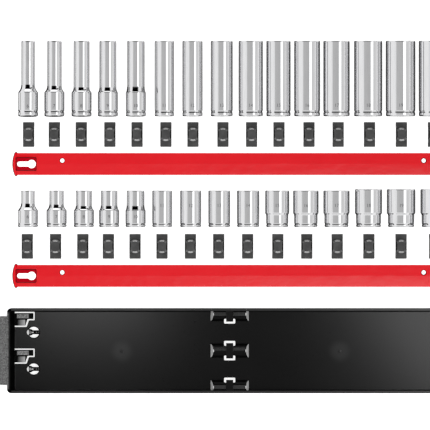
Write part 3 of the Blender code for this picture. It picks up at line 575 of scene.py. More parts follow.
# From the saddle's top: radius and height of the stud
STUD_CURVE = ((0.00500, -0.0004), (0.00520, 0.0), (0.00545, 0.0016), (0.00565, 0.0034), (0.00575, 0.0048),
              (0.00573, 0.0062), (0.00560, 0.0074), (0.00535, 0.0083), (0.00500, 0.0089), (0.00460, 0.0093),
              (0.00420, 0.0095))
# Width, foot and top of the slot through it
STUD_WINDOW = (0.0050, 0.0014, 0.0069)
# The heights between which the stud's top edge gets its painted highlight and sheen
STUD_HIGHLIGHT_BAND = (0.0075, 0.0095)
# Name, darkest and palest tint, specular; the last three are painted on by paint_faces: painted shade on the stud's
# leaning flats, and a painted sheen and a painted highlight on its top edge
NYLONS = (("dark_grey_nylon", 0.060, 0.092, 0.3), ("painted_shade_nylon_edge", 0.001, 0.003, 0.01),
          ("painted_sheen_grey_nylon", 0.11, 0.16, 0.3), ("painted_highlight_grey_nylon", 0.46, 0.56, 0.3))
NYLON_PAINTED_SHADE, NYLON_PAINTED_SHEEN, NYLON_PAINTED_HIGHLIGHT = 1, 2, 3
# How far the last five stand to the right of their sockets' middles, in clip widths
CLIP_SHIFTS = (0.09, 0.08, 0.05, 0.02, -0.04)

# Moulded plastic: fine grain of the mould, specks in it, and a cloudy sheen
moulded, given, result = new_group("moulded_skin", (("Scale", 40.0), ("Cloud", 0.5)), ("Grain", "Specks", "Clouds"))
own = object_place(moulded)
grain = add_noise(moulded, own, add_sum(moulded, "MULTIPLY", given["Scale"], 40.0), 4.0, Roughness=0.7)
clouds = add_range(moulded, add_noise(moulded, own, given["Scale"], 3.0, Roughness=0.55), 0.35, 0.70)
feed(moulded, result["Grain"], grain)
feed(moulded, result["Specks"], add_range(moulded, grain, 0.38, 0.62))
feed(moulded, result["Clouds"], add_sum(moulded, "MULTIPLY", clouds, given["Cloud"]))


def new_plastic(name, specular, scale, cloud, rough, least):
    """A moulded plastic that is rough by the mould's grain. Its tint and its bump are still to be fed."""
    made, tree, shader = new_material(name, Specular_IOR_Level=specular)
    skin = add_node(tree, "ShaderNodeGroup", {"Scale": scale, "Cloud": cloud}, node_tree=moulded).outputs
    feed(tree, shader["Roughness"], add_sum(tree, "MULTIPLY_ADD", skin["Grain"], rough, least))
    return made, tree, shader, skin


nylons = []
for name, darkest, palest, specular in NYLONS:
    nylon, tree, shader, skin = new_plastic(name, specular, 150.0, 1.0, 0.20, 0.22)
    feed(tree, shader["Base Color"], add_mix(tree, skin["Clouds"], darkest, palest))
    add_bump(tree, shader, skin["Grain"], 0.25, 0.00004)
    nylons.append(nylon)


def give_materials(piece, materials):
    for material in materials:
        piece.data.materials.append(material)


def paint_faces(piece, slot, test=lambda middle, normal: True):
    """Gives all faces, or those that pass a test, another of the piece's materials."""
    for face in piece.data.polygons:
        if test(face.center, face.normal):
            face.material_index = slot


def round_edges(piece, width, segments, degrees=35):
    """Breaks every edge that is sharper than the angle."""
    pick_up(piece)
    bevel = piece.modifiers.new("round", "BEVEL")
    bevel.width = width
    bevel.segments = segments
    bevel.limit_method = "ANGLE"
    bevel.angle_limit = math.radians(degrees)
    bevel.harden_normals = False
    bpy.ops.object.modifier_apply(modifier="round")


def select_faces(piece, test):
    """Enters edit mode with only the faces selected whose middle and normal pass the test."""
    pick_up(piece)
    enter_edit()
    bpy.ops.mesh.select_mode(type="FACE")
    bpy.ops.mesh.select_all(action="DESELECT")
    leave_edit()
    for face in piece.data.polygons:
        face.select = bool(test(face.center, face.normal))
    enter_edit()


def select_edges(piece, test):
    """Enters edit mode with only the edges selected whose two ends pass the test."""
    pick_up(piece)
    enter_edit()
    bpy.ops.mesh.select_mode(type="EDGE")
    bpy.ops.mesh.select_all(action="DESELECT")
    leave_edit()
    corners = piece.data.vertices
    for edge in piece.data.edges:
        edge.select = bool(test(*(corners[index].co for index in edge.vertices)))
    enter_edit()


def upright(a, b):
    """Tells an upright edge from its two ends."""
    return abs(a.z - b.z) > 0.0003


def pull_faces(piece, test, way, inset=0, narrower=None):
    """Insets the faces that pass the test, pulls them out or in, and narrows them."""
    select_faces(piece, test)
    if inset:
        bpy.ops.mesh.inset(thickness=inset)
    bpy.ops.mesh.extrude_region_move(TRANSFORM_OT_translate={"value": way})
    if narrower:
        bpy.ops.transform.resize(value=narrower)
    leave_edit()


def copy_to(pattern, name, place):
    """A copy of the pattern with its own mesh, moved to its place."""
    pick_up(pattern)
    bpy.ops.object.duplicate(linked=False)
    made = bpy.context.object
    made.name = name
    move_to(made, place)
    return made


low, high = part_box("deep_clip_06mm")
half_span = (high[1] - low[1]) / 2
pattern = add_block((-CLIP_WIDTH / 2, -half_span, 0), (CLIP_WIDTH / 2, half_span, CLIP_TOP))
pattern.name = "clip_pattern"
for side, foot in ((CLIP_THROAT, -OVERRUN), (CLIP_INSIDE, CLIP_LIP_THICKNESS)):
    carve(pattern, add_block((-CLIP_WIDTH, -side, foot), (CLIP_WIDTH, side, CLIP_CEILING)))
round_edges(pattern, CLIP_EDGE, 2)
stud = turn_on_lathe("clip_stud", [(radius, CLIP_TOP + height) for radius, height in STUD_CURVE], 48)
foot_side, top_side, bend = STUD_FLATS
flats = add_block((-foot_side, -0.01, 0), (foot_side, 0.01, CLIP_TOP + bend))
pull_faces(flats, lambda middle, normal: normal.z > 0.9, (0, 0, STUD_HEIGHT + 0.001 - bend),
           narrower=(top_side / foot_side, 1, 1))
combine(stud, flats, "INTERSECT")
width, foot, top = STUD_WINDOW
carve(stud, add_block((-0.01, -width / 2, CLIP_TOP + foot), (0.01, width / 2, CLIP_TOP + top)))
combine(pattern, stud)
give_materials(pattern, nylons)
# Painted highlight: the stud's rounded top edge is painted pale to the front and the back, where it meets the
# square, with a fainter painted sheen round the rest
highlight_low, highlight_high = STUD_HIGHLIGHT_BAND
for slot, least, most in ((NYLON_PAINTED_SHEEN, -9, 9), (NYLON_PAINTED_HIGHLIGHT, -0.35, 0.35)):
    paint_faces(pattern, slot, lambda middle, normal: CLIP_TOP + highlight_low < middle.z < CLIP_TOP + highlight_high
                and 0.1 < normal.z < 0.99 and least * abs(normal.y) < normal.x < most * abs(normal.y))
# Painted shade: the stud's leaning flats are painted near black
paint_faces(pattern, NYLON_PAINTED_SHADE, lambda middle, normal: middle.z > CLIP_TOP + bend and abs(normal.y) < 0.05
            and 0.1 < normal.z < 0.9)
smooth(pattern, 35)

for row, count in (("deep", 15), ("shallow", 10)):
    for size in NUT_SIZES[:count]:
        node = f"{row}_clip_{round(size * 1000):02d}mm"
        low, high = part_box(node)
        clip = copy_to(pattern, node + "_nylon", ((low[0] + high[0]) / 2, (low[1] + high[1]) / 2, 0))
        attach(clip, node)
        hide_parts(node)
clip_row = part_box("shallow_clip_06mm")
for size, shift in zip(NUT_SIZES[10:], CLIP_SHIFTS):
    low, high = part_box(f"shallow_socket_{round(size * 1000):02d}mm")
    clip = copy_to(pattern, f"shallow_clip_{round(size * 1000):02d}mm_nylon",
                   ((low[0] + high[0]) / 2 + CLIP_WIDTH * shift, (clip_row[0][1] + clip_row[1][1]) / 2, 0))
    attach(clip, "tray")
bpy.data.objects.remove(pattern)


# Rails. Each is a red moulding with a T section, so that the clips hook under its flange. Its near
# end has an arched stop and a pocket with the keyhole that drops over the tray's headed peg.
RAIL_WIDTH = 0.0186
RAIL_HEIGHT = 0.0055
RAIL_CORE = 0.0126
FLANGE_THICKNESS = 0.0022
STOP_WIDTH = 0.0203
STOP_ARC_RISE = 0.0022
STOP_THICKNESS = 0.0021
STOP_OVERLAP = 0.0005
STOP_EDGE = 0.0006
# Start and end along the rail, half width, depth; then its corners and its mouth's bead
POCKET = (0.0026, 0.0208, 0.0061, 0.0024)
POCKET_CORNER = 0.0011
POCKET_DRAFT = 0.0009
POCKET_BEAD = 0.0010
BEAD_CORNER = 0.0016
BEAD_EDGE = 0.0003
# Start and width of the slot, place and width of the hole
KEYHOLE_SLOT = (0.0040, 0.0043)
KEYHOLE_HOLE = (0.0163, 0.0071)
# Place along the rail, from its near or far end, and across it
PIN_HOLES = ((0.0422, 0.0029), (-0.0084, 0.0029))
PIN_HOLE_RADIUS = 0.0018
PIN_HOLE_CHAMFER = 0.0010
# How far the rail's middle line stands up at its near end, and how much more at its far end
RAIL_CROWN = (0.00005, 0.00025)
RAIL_EDGE = 0.0010
# Name, bright and deep tint, specular; the second is painted shade for the rail's sides and edges, the third painted
# shade for its pocket's floor
REDS = (("red_moulded_rail", (0.97, 0.006, 0.015), (0.90, 0.003, 0.012), 0.25),
        ("painted_shade_red_edge", (0.18, 0.001, 0.003), (0.14, 0.001, 0.003), 0.02),
        ("shaded_red_pocket", (0.60, 0.001, 0.011), (0.54, 0.001, 0.009), 0.02))
RED_PAINTED_SHADE_EDGE, RED_POCKET_SHADE = 1, 2
RAIL_LAMP = ("rail_strip", (0.26, -0.38, 5.0), (0.12, -0.06, 0), (0.44, 0.40), 4.6)

reds = []
for name, bright, deep, specular in REDS:
    red, tree, shader, skin = new_plastic(name, specular, 30.0, 0.5, 0.10, 0.12)
    feed(tree, shader["Base Color"], add_mix(tree, skin["Clouds"], bright, deep))
    add_bump(tree, shader, add_noise(tree, object_place(tree), 130.0, 2.0), 1.0, 0.00010)
    reds.append(red)


def split(piece, point, way, **more):
    """Cuts the piece's faces along a plane."""
    pick_up(piece)
    enter_edit()
    bpy.ops.mesh.select_all(action="SELECT")
    bpy.ops.mesh.bisect(plane_co=point, plane_no=way, **more)
    leave_edit()


def drill(piece, place, *cylinder):
    cutter = add_cylinder(*cylinder)
    move_to(cutter, place)
    carve(piece, cutter)


def bevel_edges(piece, width, segments, test):
    """Rounds only the edges that pass the test."""
    select_edges(piece, test)
    bpy.ops.mesh.bevel(offset=width, segments=segments)
    leave_edit()


low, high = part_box("deep_socket_rail")
rail_length = high[0] - low[0]
shoulder = STOP_ARC_RISE + STOP_THICKNESS
rail_start = shoulder - STOP_OVERLAP
pattern = add_block((rail_start, -RAIL_WIDTH / 2, RAIL_HEIGHT - FLANGE_THICKNESS),
                    (rail_length, RAIL_WIDTH / 2, RAIL_HEIGHT))
pattern.name = "rail_pattern"
split(pattern, (0, 0, 0), (0, 1, 0))
select_edges(pattern, lambda a, b: abs(a.y) < 1e-6 and abs(b.y) < 1e-6 and min(a.z, b.z) > RAIL_HEIGHT - 1e-5)
bpy.ops.transform.translate(value=(0, 0, RAIL_CROWN[0]))
bpy.ops.transform.rotate(value=RAIL_CROWN[1] / rail_length, orient_axis="Y", center_override=(0, 0, RAIL_HEIGHT))
leave_edit()
combine(pattern, add_block((rail_start, -RAIL_CORE / 2, 0), (rail_length, RAIL_CORE / 2, RAIL_HEIGHT - 0.001)))
for place, offset in PIN_HOLES:
    for foot, top, mouth in ((-OVERRUN, RAIL_HEIGHT + OVERRUN, None),
                             (RAIL_HEIGHT - 0.0004, RAIL_HEIGHT + 0.0006, PIN_HOLE_RADIUS + PIN_HOLE_CHAMFER)):
        drill(pattern, (place % rail_length, offset, 0), PIN_HOLE_RADIUS, foot, top, 40, mouth)
round_edges(pattern, RAIL_EDGE, 3, 20)
# The stop: a slice of a wide round bar, as thick as the rail is high
half = STOP_WIDTH / 2
arc_radius = (half ** 2 + STOP_ARC_RISE ** 2) / (2 * STOP_ARC_RISE)
stop = add_cylinder(arc_radius, 0, RAIL_HEIGHT + RAIL_CROWN[0], 160)
move_to(stop, (arc_radius, 0, 0))
combine(stop, add_block((-0.01, -half, -0.001), (shoulder, half, 0.01)), "INTERSECT")
round_edges(stop, STOP_EDGE, 3, 35)
combine(pattern, stop)
start, end, side, depth = POCKET
pocket = add_block((start, -side, RAIL_HEIGHT - depth), (end, side, RAIL_HEIGHT + OVERRUN))
bevel_edges(pocket, POCKET_CORNER, 5, upright)
select_faces(pocket, lambda middle, normal: normal.z < -0.9)
bpy.ops.transform.resize(value=(1 - 2 * POCKET_DRAFT / (end - start), 1 - POCKET_DRAFT / side, 1))
leave_edit()
# A moulded bead runs round the pocket's mouth
bead = add_block((start - POCKET_BEAD, -side - POCKET_BEAD, RAIL_HEIGHT - 0.0008),
                 (end + POCKET_BEAD, side + POCKET_BEAD, RAIL_HEIGHT + RAIL_CROWN[0]))
bevel_edges(bead, BEAD_CORNER, 5, upright)
round_edges(bead, BEAD_EDGE, 2, 60)
combine(pattern, bead)
carve(pattern, pocket)
slot_start, slot_width = KEYHOLE_SLOT
hole_place, hole_width = KEYHOLE_HOLE
slot_middle = slot_start + slot_width / 2
for radius, place in ((hole_width / 2, hole_place), (slot_width / 2, slot_middle)):
    drill(pattern, (place, 0, 0), radius, -OVERRUN, 0.01, 48)
carve(pattern, add_block((slot_middle, -slot_width / 2, -OVERRUN), (hole_place, slot_width / 2, 0.01)))
give_materials(pattern, reds)
# Painted shade: the rail's sides and rounded edges are painted deep red
paint_faces(pattern, RED_PAINTED_SHADE_EDGE, lambda middle, normal: normal.z < 0.97)
# Painted shade: the pocket's floor is painted a darker red
paint_faces(pattern, RED_POCKET_SHADE, lambda middle, normal: start < middle.x < end and abs(middle.y) < side
            and normal.z > 0.9 and middle.z < RAIL_HEIGHT - 0.0010)
smooth(pattern, 25)

rails = []
for node in ("deep_socket_rail", "shallow_socket_rail"):
    low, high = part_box(node)
    rail = copy_to(pattern, node + "_moulding", (low[0], (low[1] + high[1]) / 2, 0))
    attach(rail, node)
    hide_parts(node)
    rail.visible_glossy = False
    rail.visible_diffuse = False
    rails.append(rail)
bpy.data.objects.remove(pattern)
# A far strip lamp whose gleam only the rails' front halves catch, where the crown leans to it
gleam_on(hang_lamp(*RAIL_LAMP), rails)


# Tray. One moulding in black plastic with two lanes for the rails: a raised floor with a rim round
# it, ends that slope in, and a bare grained ledge on the near end. Three half round ridges with
# small lips hold the rails' edges, and a headed peg in each lane takes the keyhole.
TRAY_WALL = 0.0024
TRAY_CORNER = 0.0034
TRAY_END_SLOPE = 0.0039
RIM_EDGE = 0.00055
FLOOR_EDGE = 0.0008
# How far from the near end the painted highlight line of its rim runs
EDGE_LINE = 0.0011
FLOOR_UNDERSIDE = 0.0040
FLOOR_TOP = 0.0056
# How deep a joined shape is rooted in what it stands on
ROOTED = 0.0006
LEDGE_REACH = 0.0070
LEDGE_LENGTH = 0.0580
LEDGE_DROP = 0.0020
LEDGE_FOOT = 0.0030
LEDGE_EDGE = 0.0005
LEDGE_PANEL_END = 0.0068
LEDGE_PANEL_INSET = 0.0008
LEDGE_PANEL_SINK = (0.00012, 0, -0.00014)
LANE_OFFSET = 0.0155
RAIL_FIT = 0.0001
RIDGE_LENGTH = 0.0274
RIDGE_END_SLOPE = 0.0026
RIDGE_SIDE = 0.0061
SIDE_RIDGE_OFFSET = 0.0308
RIDGE_RISE = 0.0068
RIDGE_EDGE = 0.00045
# Where the painted sheen runs off the ridge's middle: the centre one, the side ones, half width
RIDGE_SHEEN = (0.0015, 0.0003, 0.0015)
# Length, reach over the rail, thickness; then length, undercut and reach of the window below
LIP = (0.0060, 0.0004, 0.0012)
LIP_WINDOW = (0.0094, 0.0020, 0.0021)
LIP_LOW = FLOOR_TOP + RAIL_HEIGHT + 0.0003
# Start before the far end, and width, of the lip there
FAR_LIP = (0.0090, 0.0060)
LIP_EDGE = 0.0003
LIP_WINDOW_CORNER = 0.0008
PEG_PLACE = 0.01945
# How far past the peg its window's middle lies, and the window's radius
PEG_WINDOW = (0.0029, 0.0046)
PEG_ARM_WIDTH = 0.0034
PEG_NECK = 0.0022
# Radius, foot and top of the head
PEG_HEAD = (0.0028, 0.0090, 0.0105)
# Place past the peg and radius of the two low round marks on its arm
PEG_NUBS = ((0.0052, 0.0005), (0.0071, 0.0004))
LATCH_PLACE = 0.0064
# Lengths of the tongue's broad part, its narrow part and the slanting shoulder's foot, then its
# places across the lane: front, step and back
LATCH_SIDES = (0.0157, 0.0108, 0.0089)
LATCH_REACH = (0.0055, 0.0111, 0.0162)
LATCH_SLIT = 0.0010
LATCH_CORNER = 0.0006
# Start, end, width and rise of the latch's ramp, and where its paler tone begins and is full before its end
RAMP = (0.0023, 0.0088, 0.0050, 0.0015)
RAMP_PALING = (0.0062, 0.0008)
# The mould's gate marks on the floor: place along the tray, and off its middle
GATE_MARKS = ((-0.0876, -0.0005), (0.0963, -0.0005))
# Radius and height over the floor
GATE_CURVE = ((0.0016, -0.0003), (0.0015, 0.0001), (0.0010, 0.00025), (0.0004, 0.0003))
# Inner and outer radius, and how much paler its middle is, of the painted pool of light about each gate mark
GATE_LIGHT_POOL = (0.0030, 0.0115, 0.013)
# Name, darkest and palest tint, specular, least roughness, bump strength and distance in mm
MOULDED_BLACKS = (("black_tray_moulding", 0.0018, 0.0036, 0.08, 0.24, 0.15, 0.04),
                  ("painted_sheen_black_rim", 0.016, 0.026, 0.12, 0.34, 0.15, 0.04),
                  ("grained_black_ledge_painted_sheen", 0.060, 0.270, 0.30, 0.50, 0.80, 0.10),
                  ("grained_face_and_painted_highlight", 0.07, 0.32, 0.30, 0.50, 0.80, 0.10),
                  ("painted_highlight_spot", 0.84, 0.95, 0.30, 0.40, 0.15, 0.04),
                  ("shaded_black_slope", 0.0006, 0.0014, 0.02, 0.45, 0.15, 0.04),
                  ("ramp_face_paler_to_tall_end", 0.012, 0.48, 0.30, 0.50, 0.15, 0.04),
                  ("painted_highlight_ridge_end", 0.52, 0.66, 0.10, 0.30, 0.15, 0.04),
                  ("painted_sheen_ridge_crown", 0.09, 0.14, 0.08, 0.30, 0.15, 0.04))
RIM_SHEEN, LEDGE_GRAIN_AND_SHEEN, GRAIN_AND_HIGHLIGHT, PAINTED_HIGHLIGHT, SHADED, PALER_RAMP, RIDGE_END_HIGHLIGHT, CROWN_SHEEN = range(1, 9)

tray_low, tray_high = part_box("tray")
tray_left = tray_low[0] + LEDGE_REACH
tray_right = tray_high[0]
tray_middle = (tray_low[1] + tray_high[1]) / 2
tray_centre = (tray_left + tray_right) / 2
tray_height = tray_high[2]
wall_inside = tray_high[1] - TRAY_WALL - tray_middle
latch_left = tray_left + LATCH_PLACE

blacks = []
for name, darkest, palest, specular, least, strength, distance in MOULDED_BLACKS:
    coarse = "grained" in name
    black, tree, shader, skin = new_plastic(name, specular, 20.0 if coarse else 14.0, 1.0, 0.10, least)
    tint = add_mix(tree, skin["Specks" if coarse else "Clouds"], darkest, palest)
    if "ramp" in name:
        # Paler towards the tall end
        ways = add_node(tree, "ShaderNodeSeparateXYZ", {"Vector": object_place(tree)}).outputs
        paling_from, paling_to = (latch_left + RAMP[1] - before for before in RAMP_PALING)
        tint = add_mix(tree, add_range(tree, ways["X"], paling_from, paling_to), darkest, palest)
    if name == "black_tray_moulding":
        # A painted pool of light: a paler round patch on the floor about each gate mark
        flat = add_node(tree, "ShaderNodeVectorMath", {0: object_place(tree), 1: (1, 1, 0)}, operation="MULTIPLY")
        inner, outer, extra = GATE_LIGHT_POOL
        for gate_x, gate_y in GATE_MARKS:
            apart = add_node(tree, "ShaderNodeVectorMath", {0: flat.outputs["Vector"],
                                                            1: (gate_x, tray_middle + gate_y, 0)},
                             operation="DISTANCE").outputs["Value"]
            light_pool = add_range(tree, apart, outer, inner, interpolation_type="SMOOTHSTEP")
            tint = add_mix(tree, light_pool, tint, palest + extra)
    feed(tree, shader["Base Color"], tint)
    add_bump(tree, shader, skin["Grain"], strength, distance / 1000)
    blacks.append(black)


def near(first, second, within=0.00002):
    return abs(first - second) < within


def both_near(first, second, place):
    return near(first, place) and near(second, place)


def shift_edges(piece, way, test):
    """Moves only the edges that pass the test."""
    select_edges(piece, test)
    bpy.ops.transform.translate(value=way)
    leave_edit()


tray = add_block((tray_left, tray_low[1], 0), (tray_right, tray_high[1], tray_height))
tray.name = "tray_moulding"
bevel_edges(tray, TRAY_CORNER, 8, upright)
length = tray_right - tray_left - 2 * TRAY_WALL
pull_faces(tray, lambda middle, normal: normal.z > 0.9, (0, 0, FLOOR_TOP - tray_height), TRAY_WALL,
           ((length - 2 * TRAY_END_SLOPE) / length, 1, 1))
pull_faces(tray, lambda middle, normal: normal.z < -0.9 and middle.z < 0.001, (0, 0, FLOOR_UNDERSIDE), TRAY_WALL)
bevel_edges(tray, RIM_EDGE, 4, lambda a, b: both_near(a.z, b.z, tray_height))
bevel_edges(tray, FLOOR_EDGE, 4, lambda a, b: both_near(a.z, b.z, FLOOR_TOP))

# The ledge on the near end, with its bare recessed panel
half = LEDGE_LENGTH / 2
ledge_top = tray_height - LEDGE_DROP
ledge = add_block((tray_low[0], tray_middle - half, 0.0004),
                  (tray_left + TRAY_WALL / 2, tray_middle + half, ledge_top))
shift_edges(ledge, (0, 0, LEDGE_FOOT - ledge_top),
            lambda a, b: both_near(a.x, b.x, tray_low[0]) and min(a.z, b.z) > 0.005)
round_edges(ledge, LEDGE_EDGE, 3)
split(ledge, (0, tray_middle + half - LEDGE_PANEL_END, 0), (0, 1, 0))
select_faces(ledge, lambda middle, normal: normal.z > 0.5 and normal.x < -0.5 and abs(normal.y) < 0.1
             and abs(middle.x - tray_left + 0.003) < 0.0015)
bpy.ops.mesh.inset(thickness=LEDGE_PANEL_INSET, use_individual=True)
bpy.ops.mesh.extrude_region_move(TRANSFORM_OT_translate={"value": LEDGE_PANEL_SINK})
leave_edit()
combine(tray, ledge)


def add_ridge(name, middle_y, wall_side):
    """A flattened bar: cut level under the floor, sloped at its ends and, by a wall, cut off in the wall."""
    deselect()
    foot = FLOOR_TOP - ROOTED
    bpy.ops.mesh.primitive_cylinder_add(vertices=72, radius=1, depth=RIDGE_LENGTH + 4 * RIDGE_END_SLOPE,
                                        rotation=(0, math.pi / 2, 0), location=(tray_centre, middle_y, foot))
    ridge = bpy.context.object
    ridge.name = name
    bpy.ops.object.transform_apply(rotation=True, location=False, scale=False)
    ridge.scale = (1, RIDGE_SIDE, RIDGE_RISE)
    bpy.ops.object.transform_apply(location=True, scale=True)
    cuts = [((0, 0, foot), (0, 0, -1))]
    for end in (1, -1):
        cuts.append(((tray_centre + end * RIDGE_LENGTH / 2, 0, foot + RIDGE_RISE),
                     (end * RIDGE_RISE, 0, RIDGE_END_SLOPE)))
    if wall_side:
        cuts.append(((0, tray_middle + (wall_inside + ROOTED) * wall_side, 0), (0, wall_side, 0)))
    enter_edit()
    for point, way in cuts:
        bpy.ops.mesh.select_all(action="SELECT")
        bpy.ops.mesh.bisect(plane_co=point, plane_no=Vector(way).normalized(), use_fill=True, clear_outer=True,
                            threshold=0.000001)
    bpy.ops.mesh.select_all(action="SELECT")
    bpy.ops.mesh.normals_make_consistent(inside=False)
    leave_edit()
    bevel_edges(ridge, RIDGE_EDGE, 3, lambda a, b: abs(abs(a.x - tray_centre) - abs(b.x - tray_centre)) < 0.0012
                and min(abs(a.x - tray_centre), abs(b.x - tray_centre)) > RIDGE_LENGTH / 2 - 0.00001
                and min(a.z, b.z) > foot + 0.0004)
    give_materials(ridge, blacks)
    # Painted light: a painted highlight on the ends, painted glints on their rounded edges by the crest, and a
    # painted sheen along the crest
    paint_faces(ridge, RIDGE_END_HIGHLIGHT, lambda middle, normal: abs(normal.x) > 0.9)
    paint_faces(ridge, PAINTED_HIGHLIGHT, lambda middle, normal: 0.2 < abs(normal.x) <= 0.9
                and abs(middle.y - middle_y) < 0.0012)
    sheen_line = middle_y + RIDGE_SHEEN[1 if wall_side else 0]
    paint_faces(ridge, CROWN_SHEEN, lambda middle, normal: abs(middle.y - sheen_line) < RIDGE_SHEEN[2] and abs(normal.x) < 0.1
                and normal.z > 0.5)
    return ridge


give_materials(tray, blacks)
# The ledge's faces are grained, and their pale tone is partly a painted sheen
paint_faces(tray, LEDGE_GRAIN_AND_SHEEN, lambda middle, normal: middle.x < tray_left - 0.0002 and normal.z > 0.4)
split(tray, (tray_left + EDGE_LINE, 0, 0), (1, 0, 0), threshold=0.000001)
# Painted light on the rim: a painted sheen along the top of its long walls and a painted highlight line on the outer
# edge of its near end; the sloped ends, the long walls' inner edge and the flat tops of the ends are painted in
# shade
paint_faces(tray, RIM_SHEEN, lambda middle, normal: abs(middle.y - tray_middle) > wall_inside + 0.0004 and normal.z > 0.4
            and middle.z > tray_height - 0.0006)
paint_faces(tray, SHADED, lambda middle, normal: wall_inside - 0.0001 < abs(middle.y - tray_middle)
            < wall_inside + 0.0004 and middle.z > tray_height - 0.0006)
paint_faces(tray, SHADED, lambda middle, normal: 0.15 < abs(normal.x) and 0.2 < normal.z < 0.99
            and FLOOR_TOP + 0.0003 < middle.z < tray_height - 0.0004
            and tray_left + TRAY_WALL - 0.0001 < middle.x < tray_right - TRAY_WALL + 0.0001)
paint_faces(tray, SHADED, lambda middle, normal: near(middle.z, tray_height, 0.0001) and normal.z > 0.99
            and (middle.x < tray_left + TRAY_WALL or middle.x > tray_right - TRAY_WALL))
paint_faces(tray, GRAIN_AND_HIGHLIGHT, lambda middle, normal: tray_left + 0.0003 < middle.x < tray_left + EDGE_LINE
            and middle.z > tray_height - 0.0004 and normal.z > 0.7 and abs(middle.y - tray_middle) < wall_inside)
for name, wall_side in (("ridge_centre", 0), ("ridge_back", 1), ("ridge_front", -1)):
    combine(tray, add_ridge(name, tray_middle + SIDE_RIDGE_OFFSET * wall_side, wall_side))

lane_inner = LANE_OFFSET - RAIL_WIDTH / 2 - RAIL_FIT
lane_outer = LANE_OFFSET + RAIL_WIDTH / 2 + RAIL_FIT
window_length, undercut, reach = LIP_WINDOW
for front, back in ((lane_inner - undercut, lane_inner + reach), (lane_outer - reach, lane_outer + undercut)):
    for way in (1, -1):
        low, high = sorted((way * front, way * back))
        window = add_block((tray_centre - window_length / 2, tray_middle + low, 0.001),
                           (tray_centre + window_length / 2, tray_middle + high, tray_height + OVERRUN))
        bevel_edges(window, LIP_WINDOW_CORNER, 4, upright)
        carve(tray, window)
lip_length, lip_reach, lip_thickness = LIP
far_start, far_width = FAR_LIP
lips = [(tray_centre - lip_length / 2, tray_centre + lip_length / 2, tray_middle + front, tray_middle + back)
        for front, back in ((-wall_inside - ROOTED, lip_reach - lane_outer),
                            (-lane_inner - lip_reach, lane_inner + lip_reach),
                            (lane_outer - lip_reach, wall_inside + ROOTED))]
for way in (1, -1):
    lane = tray_middle + way * LANE_OFFSET
    lips.append((tray_right - far_start, tray_right - TRAY_WALL / 2, lane - far_width / 2, lane + far_width / 2))
for left, right, front, back in lips:
    lip = add_block((left, front, LIP_LOW), (right, back, LIP_LOW + lip_thickness))
    round_edges(lip, LIP_EDGE, 2)
    combine(tray, lip)


def latch_blank(lane, grow, low, high):
    """A latch tongue's outline as a bar with a step: its near half reaches further forward, and slants back."""
    far, short, foot = (latch_left + side + grow for side in LATCH_SIDES)
    front, step, back = (lane + side for side in LATCH_REACH)
    blank = add_block((latch_left, step - grow, low), (short, back + grow, high))
    pull_faces(blank, lambda middle, normal: normal.x > 0.9, (far - short, 0, 0))
    pull_faces(blank, lambda middle, normal: normal.y < -0.9 and middle.x < short, (0, front - step, 0))
    shift_edges(blank, (foot - short, 0, 0), lambda a, b: both_near(a.x, b.x, short)
                and both_near(a.y, b.y, front - grow))
    return blank


peg_offset, window_radius = PEG_WINDOW
head_radius, head_foot, head_top = PEG_HEAD
for way in (1, -1):
    lane = tray_middle + way * LANE_OFFSET
    window = latch_blank(lane, LATCH_SLIT, FLOOR_UNDERSIDE - OVERRUN, FLOOR_TOP + OVERRUN)
    bevel_edges(window, LATCH_CORNER, 3, lambda a, b: upright(a, b) and min(a.x, b.x) > latch_left + 0.001)
    carve(tray, window)
    place = tray_left + PEG_PLACE
    middle_x = place + peg_offset
    dish = add_cylinder(window_radius - 0.0006, FLOOR_TOP - 0.0009, FLOOR_TOP + 0.0004, 56, window_radius + 0.0013)
    move_to(dish, (middle_x, lane, 0))
    give_materials(dish, blacks)
    paint_faces(dish, SHADED)
    carve(tray, dish)
    window = add_cylinder(window_radius, FLOOR_UNDERSIDE - OVERRUN, FLOOR_TOP + OVERRUN, 56)
    move_to(window, (middle_x, lane, 0))
    carve(window, add_block((middle_x - 0.01, lane - PEG_ARM_WIDTH / 2, 0),
                            (middle_x + 0.01, lane + PEG_ARM_WIDTH / 2, 0.02)))
    carve(tray, window)
    peg = turn_on_lathe("peg", [(PEG_NECK, FLOOR_UNDERSIDE + 0.0004), (PEG_NECK, head_foot),
                                (head_radius - 0.00015, head_foot), (head_radius, head_foot + 0.00015),
                                (head_radius, head_foot + 0.0006), (head_radius - 0.0002, head_foot + 0.0010),
                                (PEG_NECK - 0.0006, head_top - 0.0001), (PEG_NECK - 0.0009, head_top)], 40)
    give_materials(peg, blacks)
    # Painted light on the peg: it is painted in shade, its top gets a pale painted sheen, and the head's near edge a
    # painted highlight crescent with a painted glint on its far side
    paint_faces(peg, SHADED)
    paint_faces(peg, GRAIN_AND_HIGHLIGHT, lambda middle, normal: normal.z > 0.99)
    paint_faces(peg, PAINTED_HIGHLIGHT, lambda middle, normal: middle.z > head_foot + 0.0005 and normal.z < 0.99
                and (middle.x < -0.0012 or middle.x > 0 and abs(middle.y) < 0.0003))
    move_to(peg, (place, lane, 0))
    combine(tray, peg)
    for offset, radius in PEG_NUBS:
        nub = turn_on_lathe("arm_nub", [(radius, FLOOR_TOP - 0.0014), (radius, FLOOR_TOP - 0.0004),
                                        (radius - 0.0002, FLOOR_TOP - 0.0002)], 24)
        give_materials(nub, blacks)
        # Painted highlight: the nubs on the arm are painted pale
        paint_faces(nub, GRAIN_AND_HIGHLIGHT)
        move_to(nub, (place + offset, lane, 0))
        combine(tray, nub)
for gate_x, gate_y in GATE_MARKS:
    nub = turn_on_lathe("gate_mark", [(radius, FLOOR_TOP + height) for radius, height in GATE_CURVE], 32)
    move_to(nub, (gate_x, tray_middle + gate_y, 0))
    combine(tray, nub)
smooth(tray, 32)
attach(tray, "tray")
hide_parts("tray")


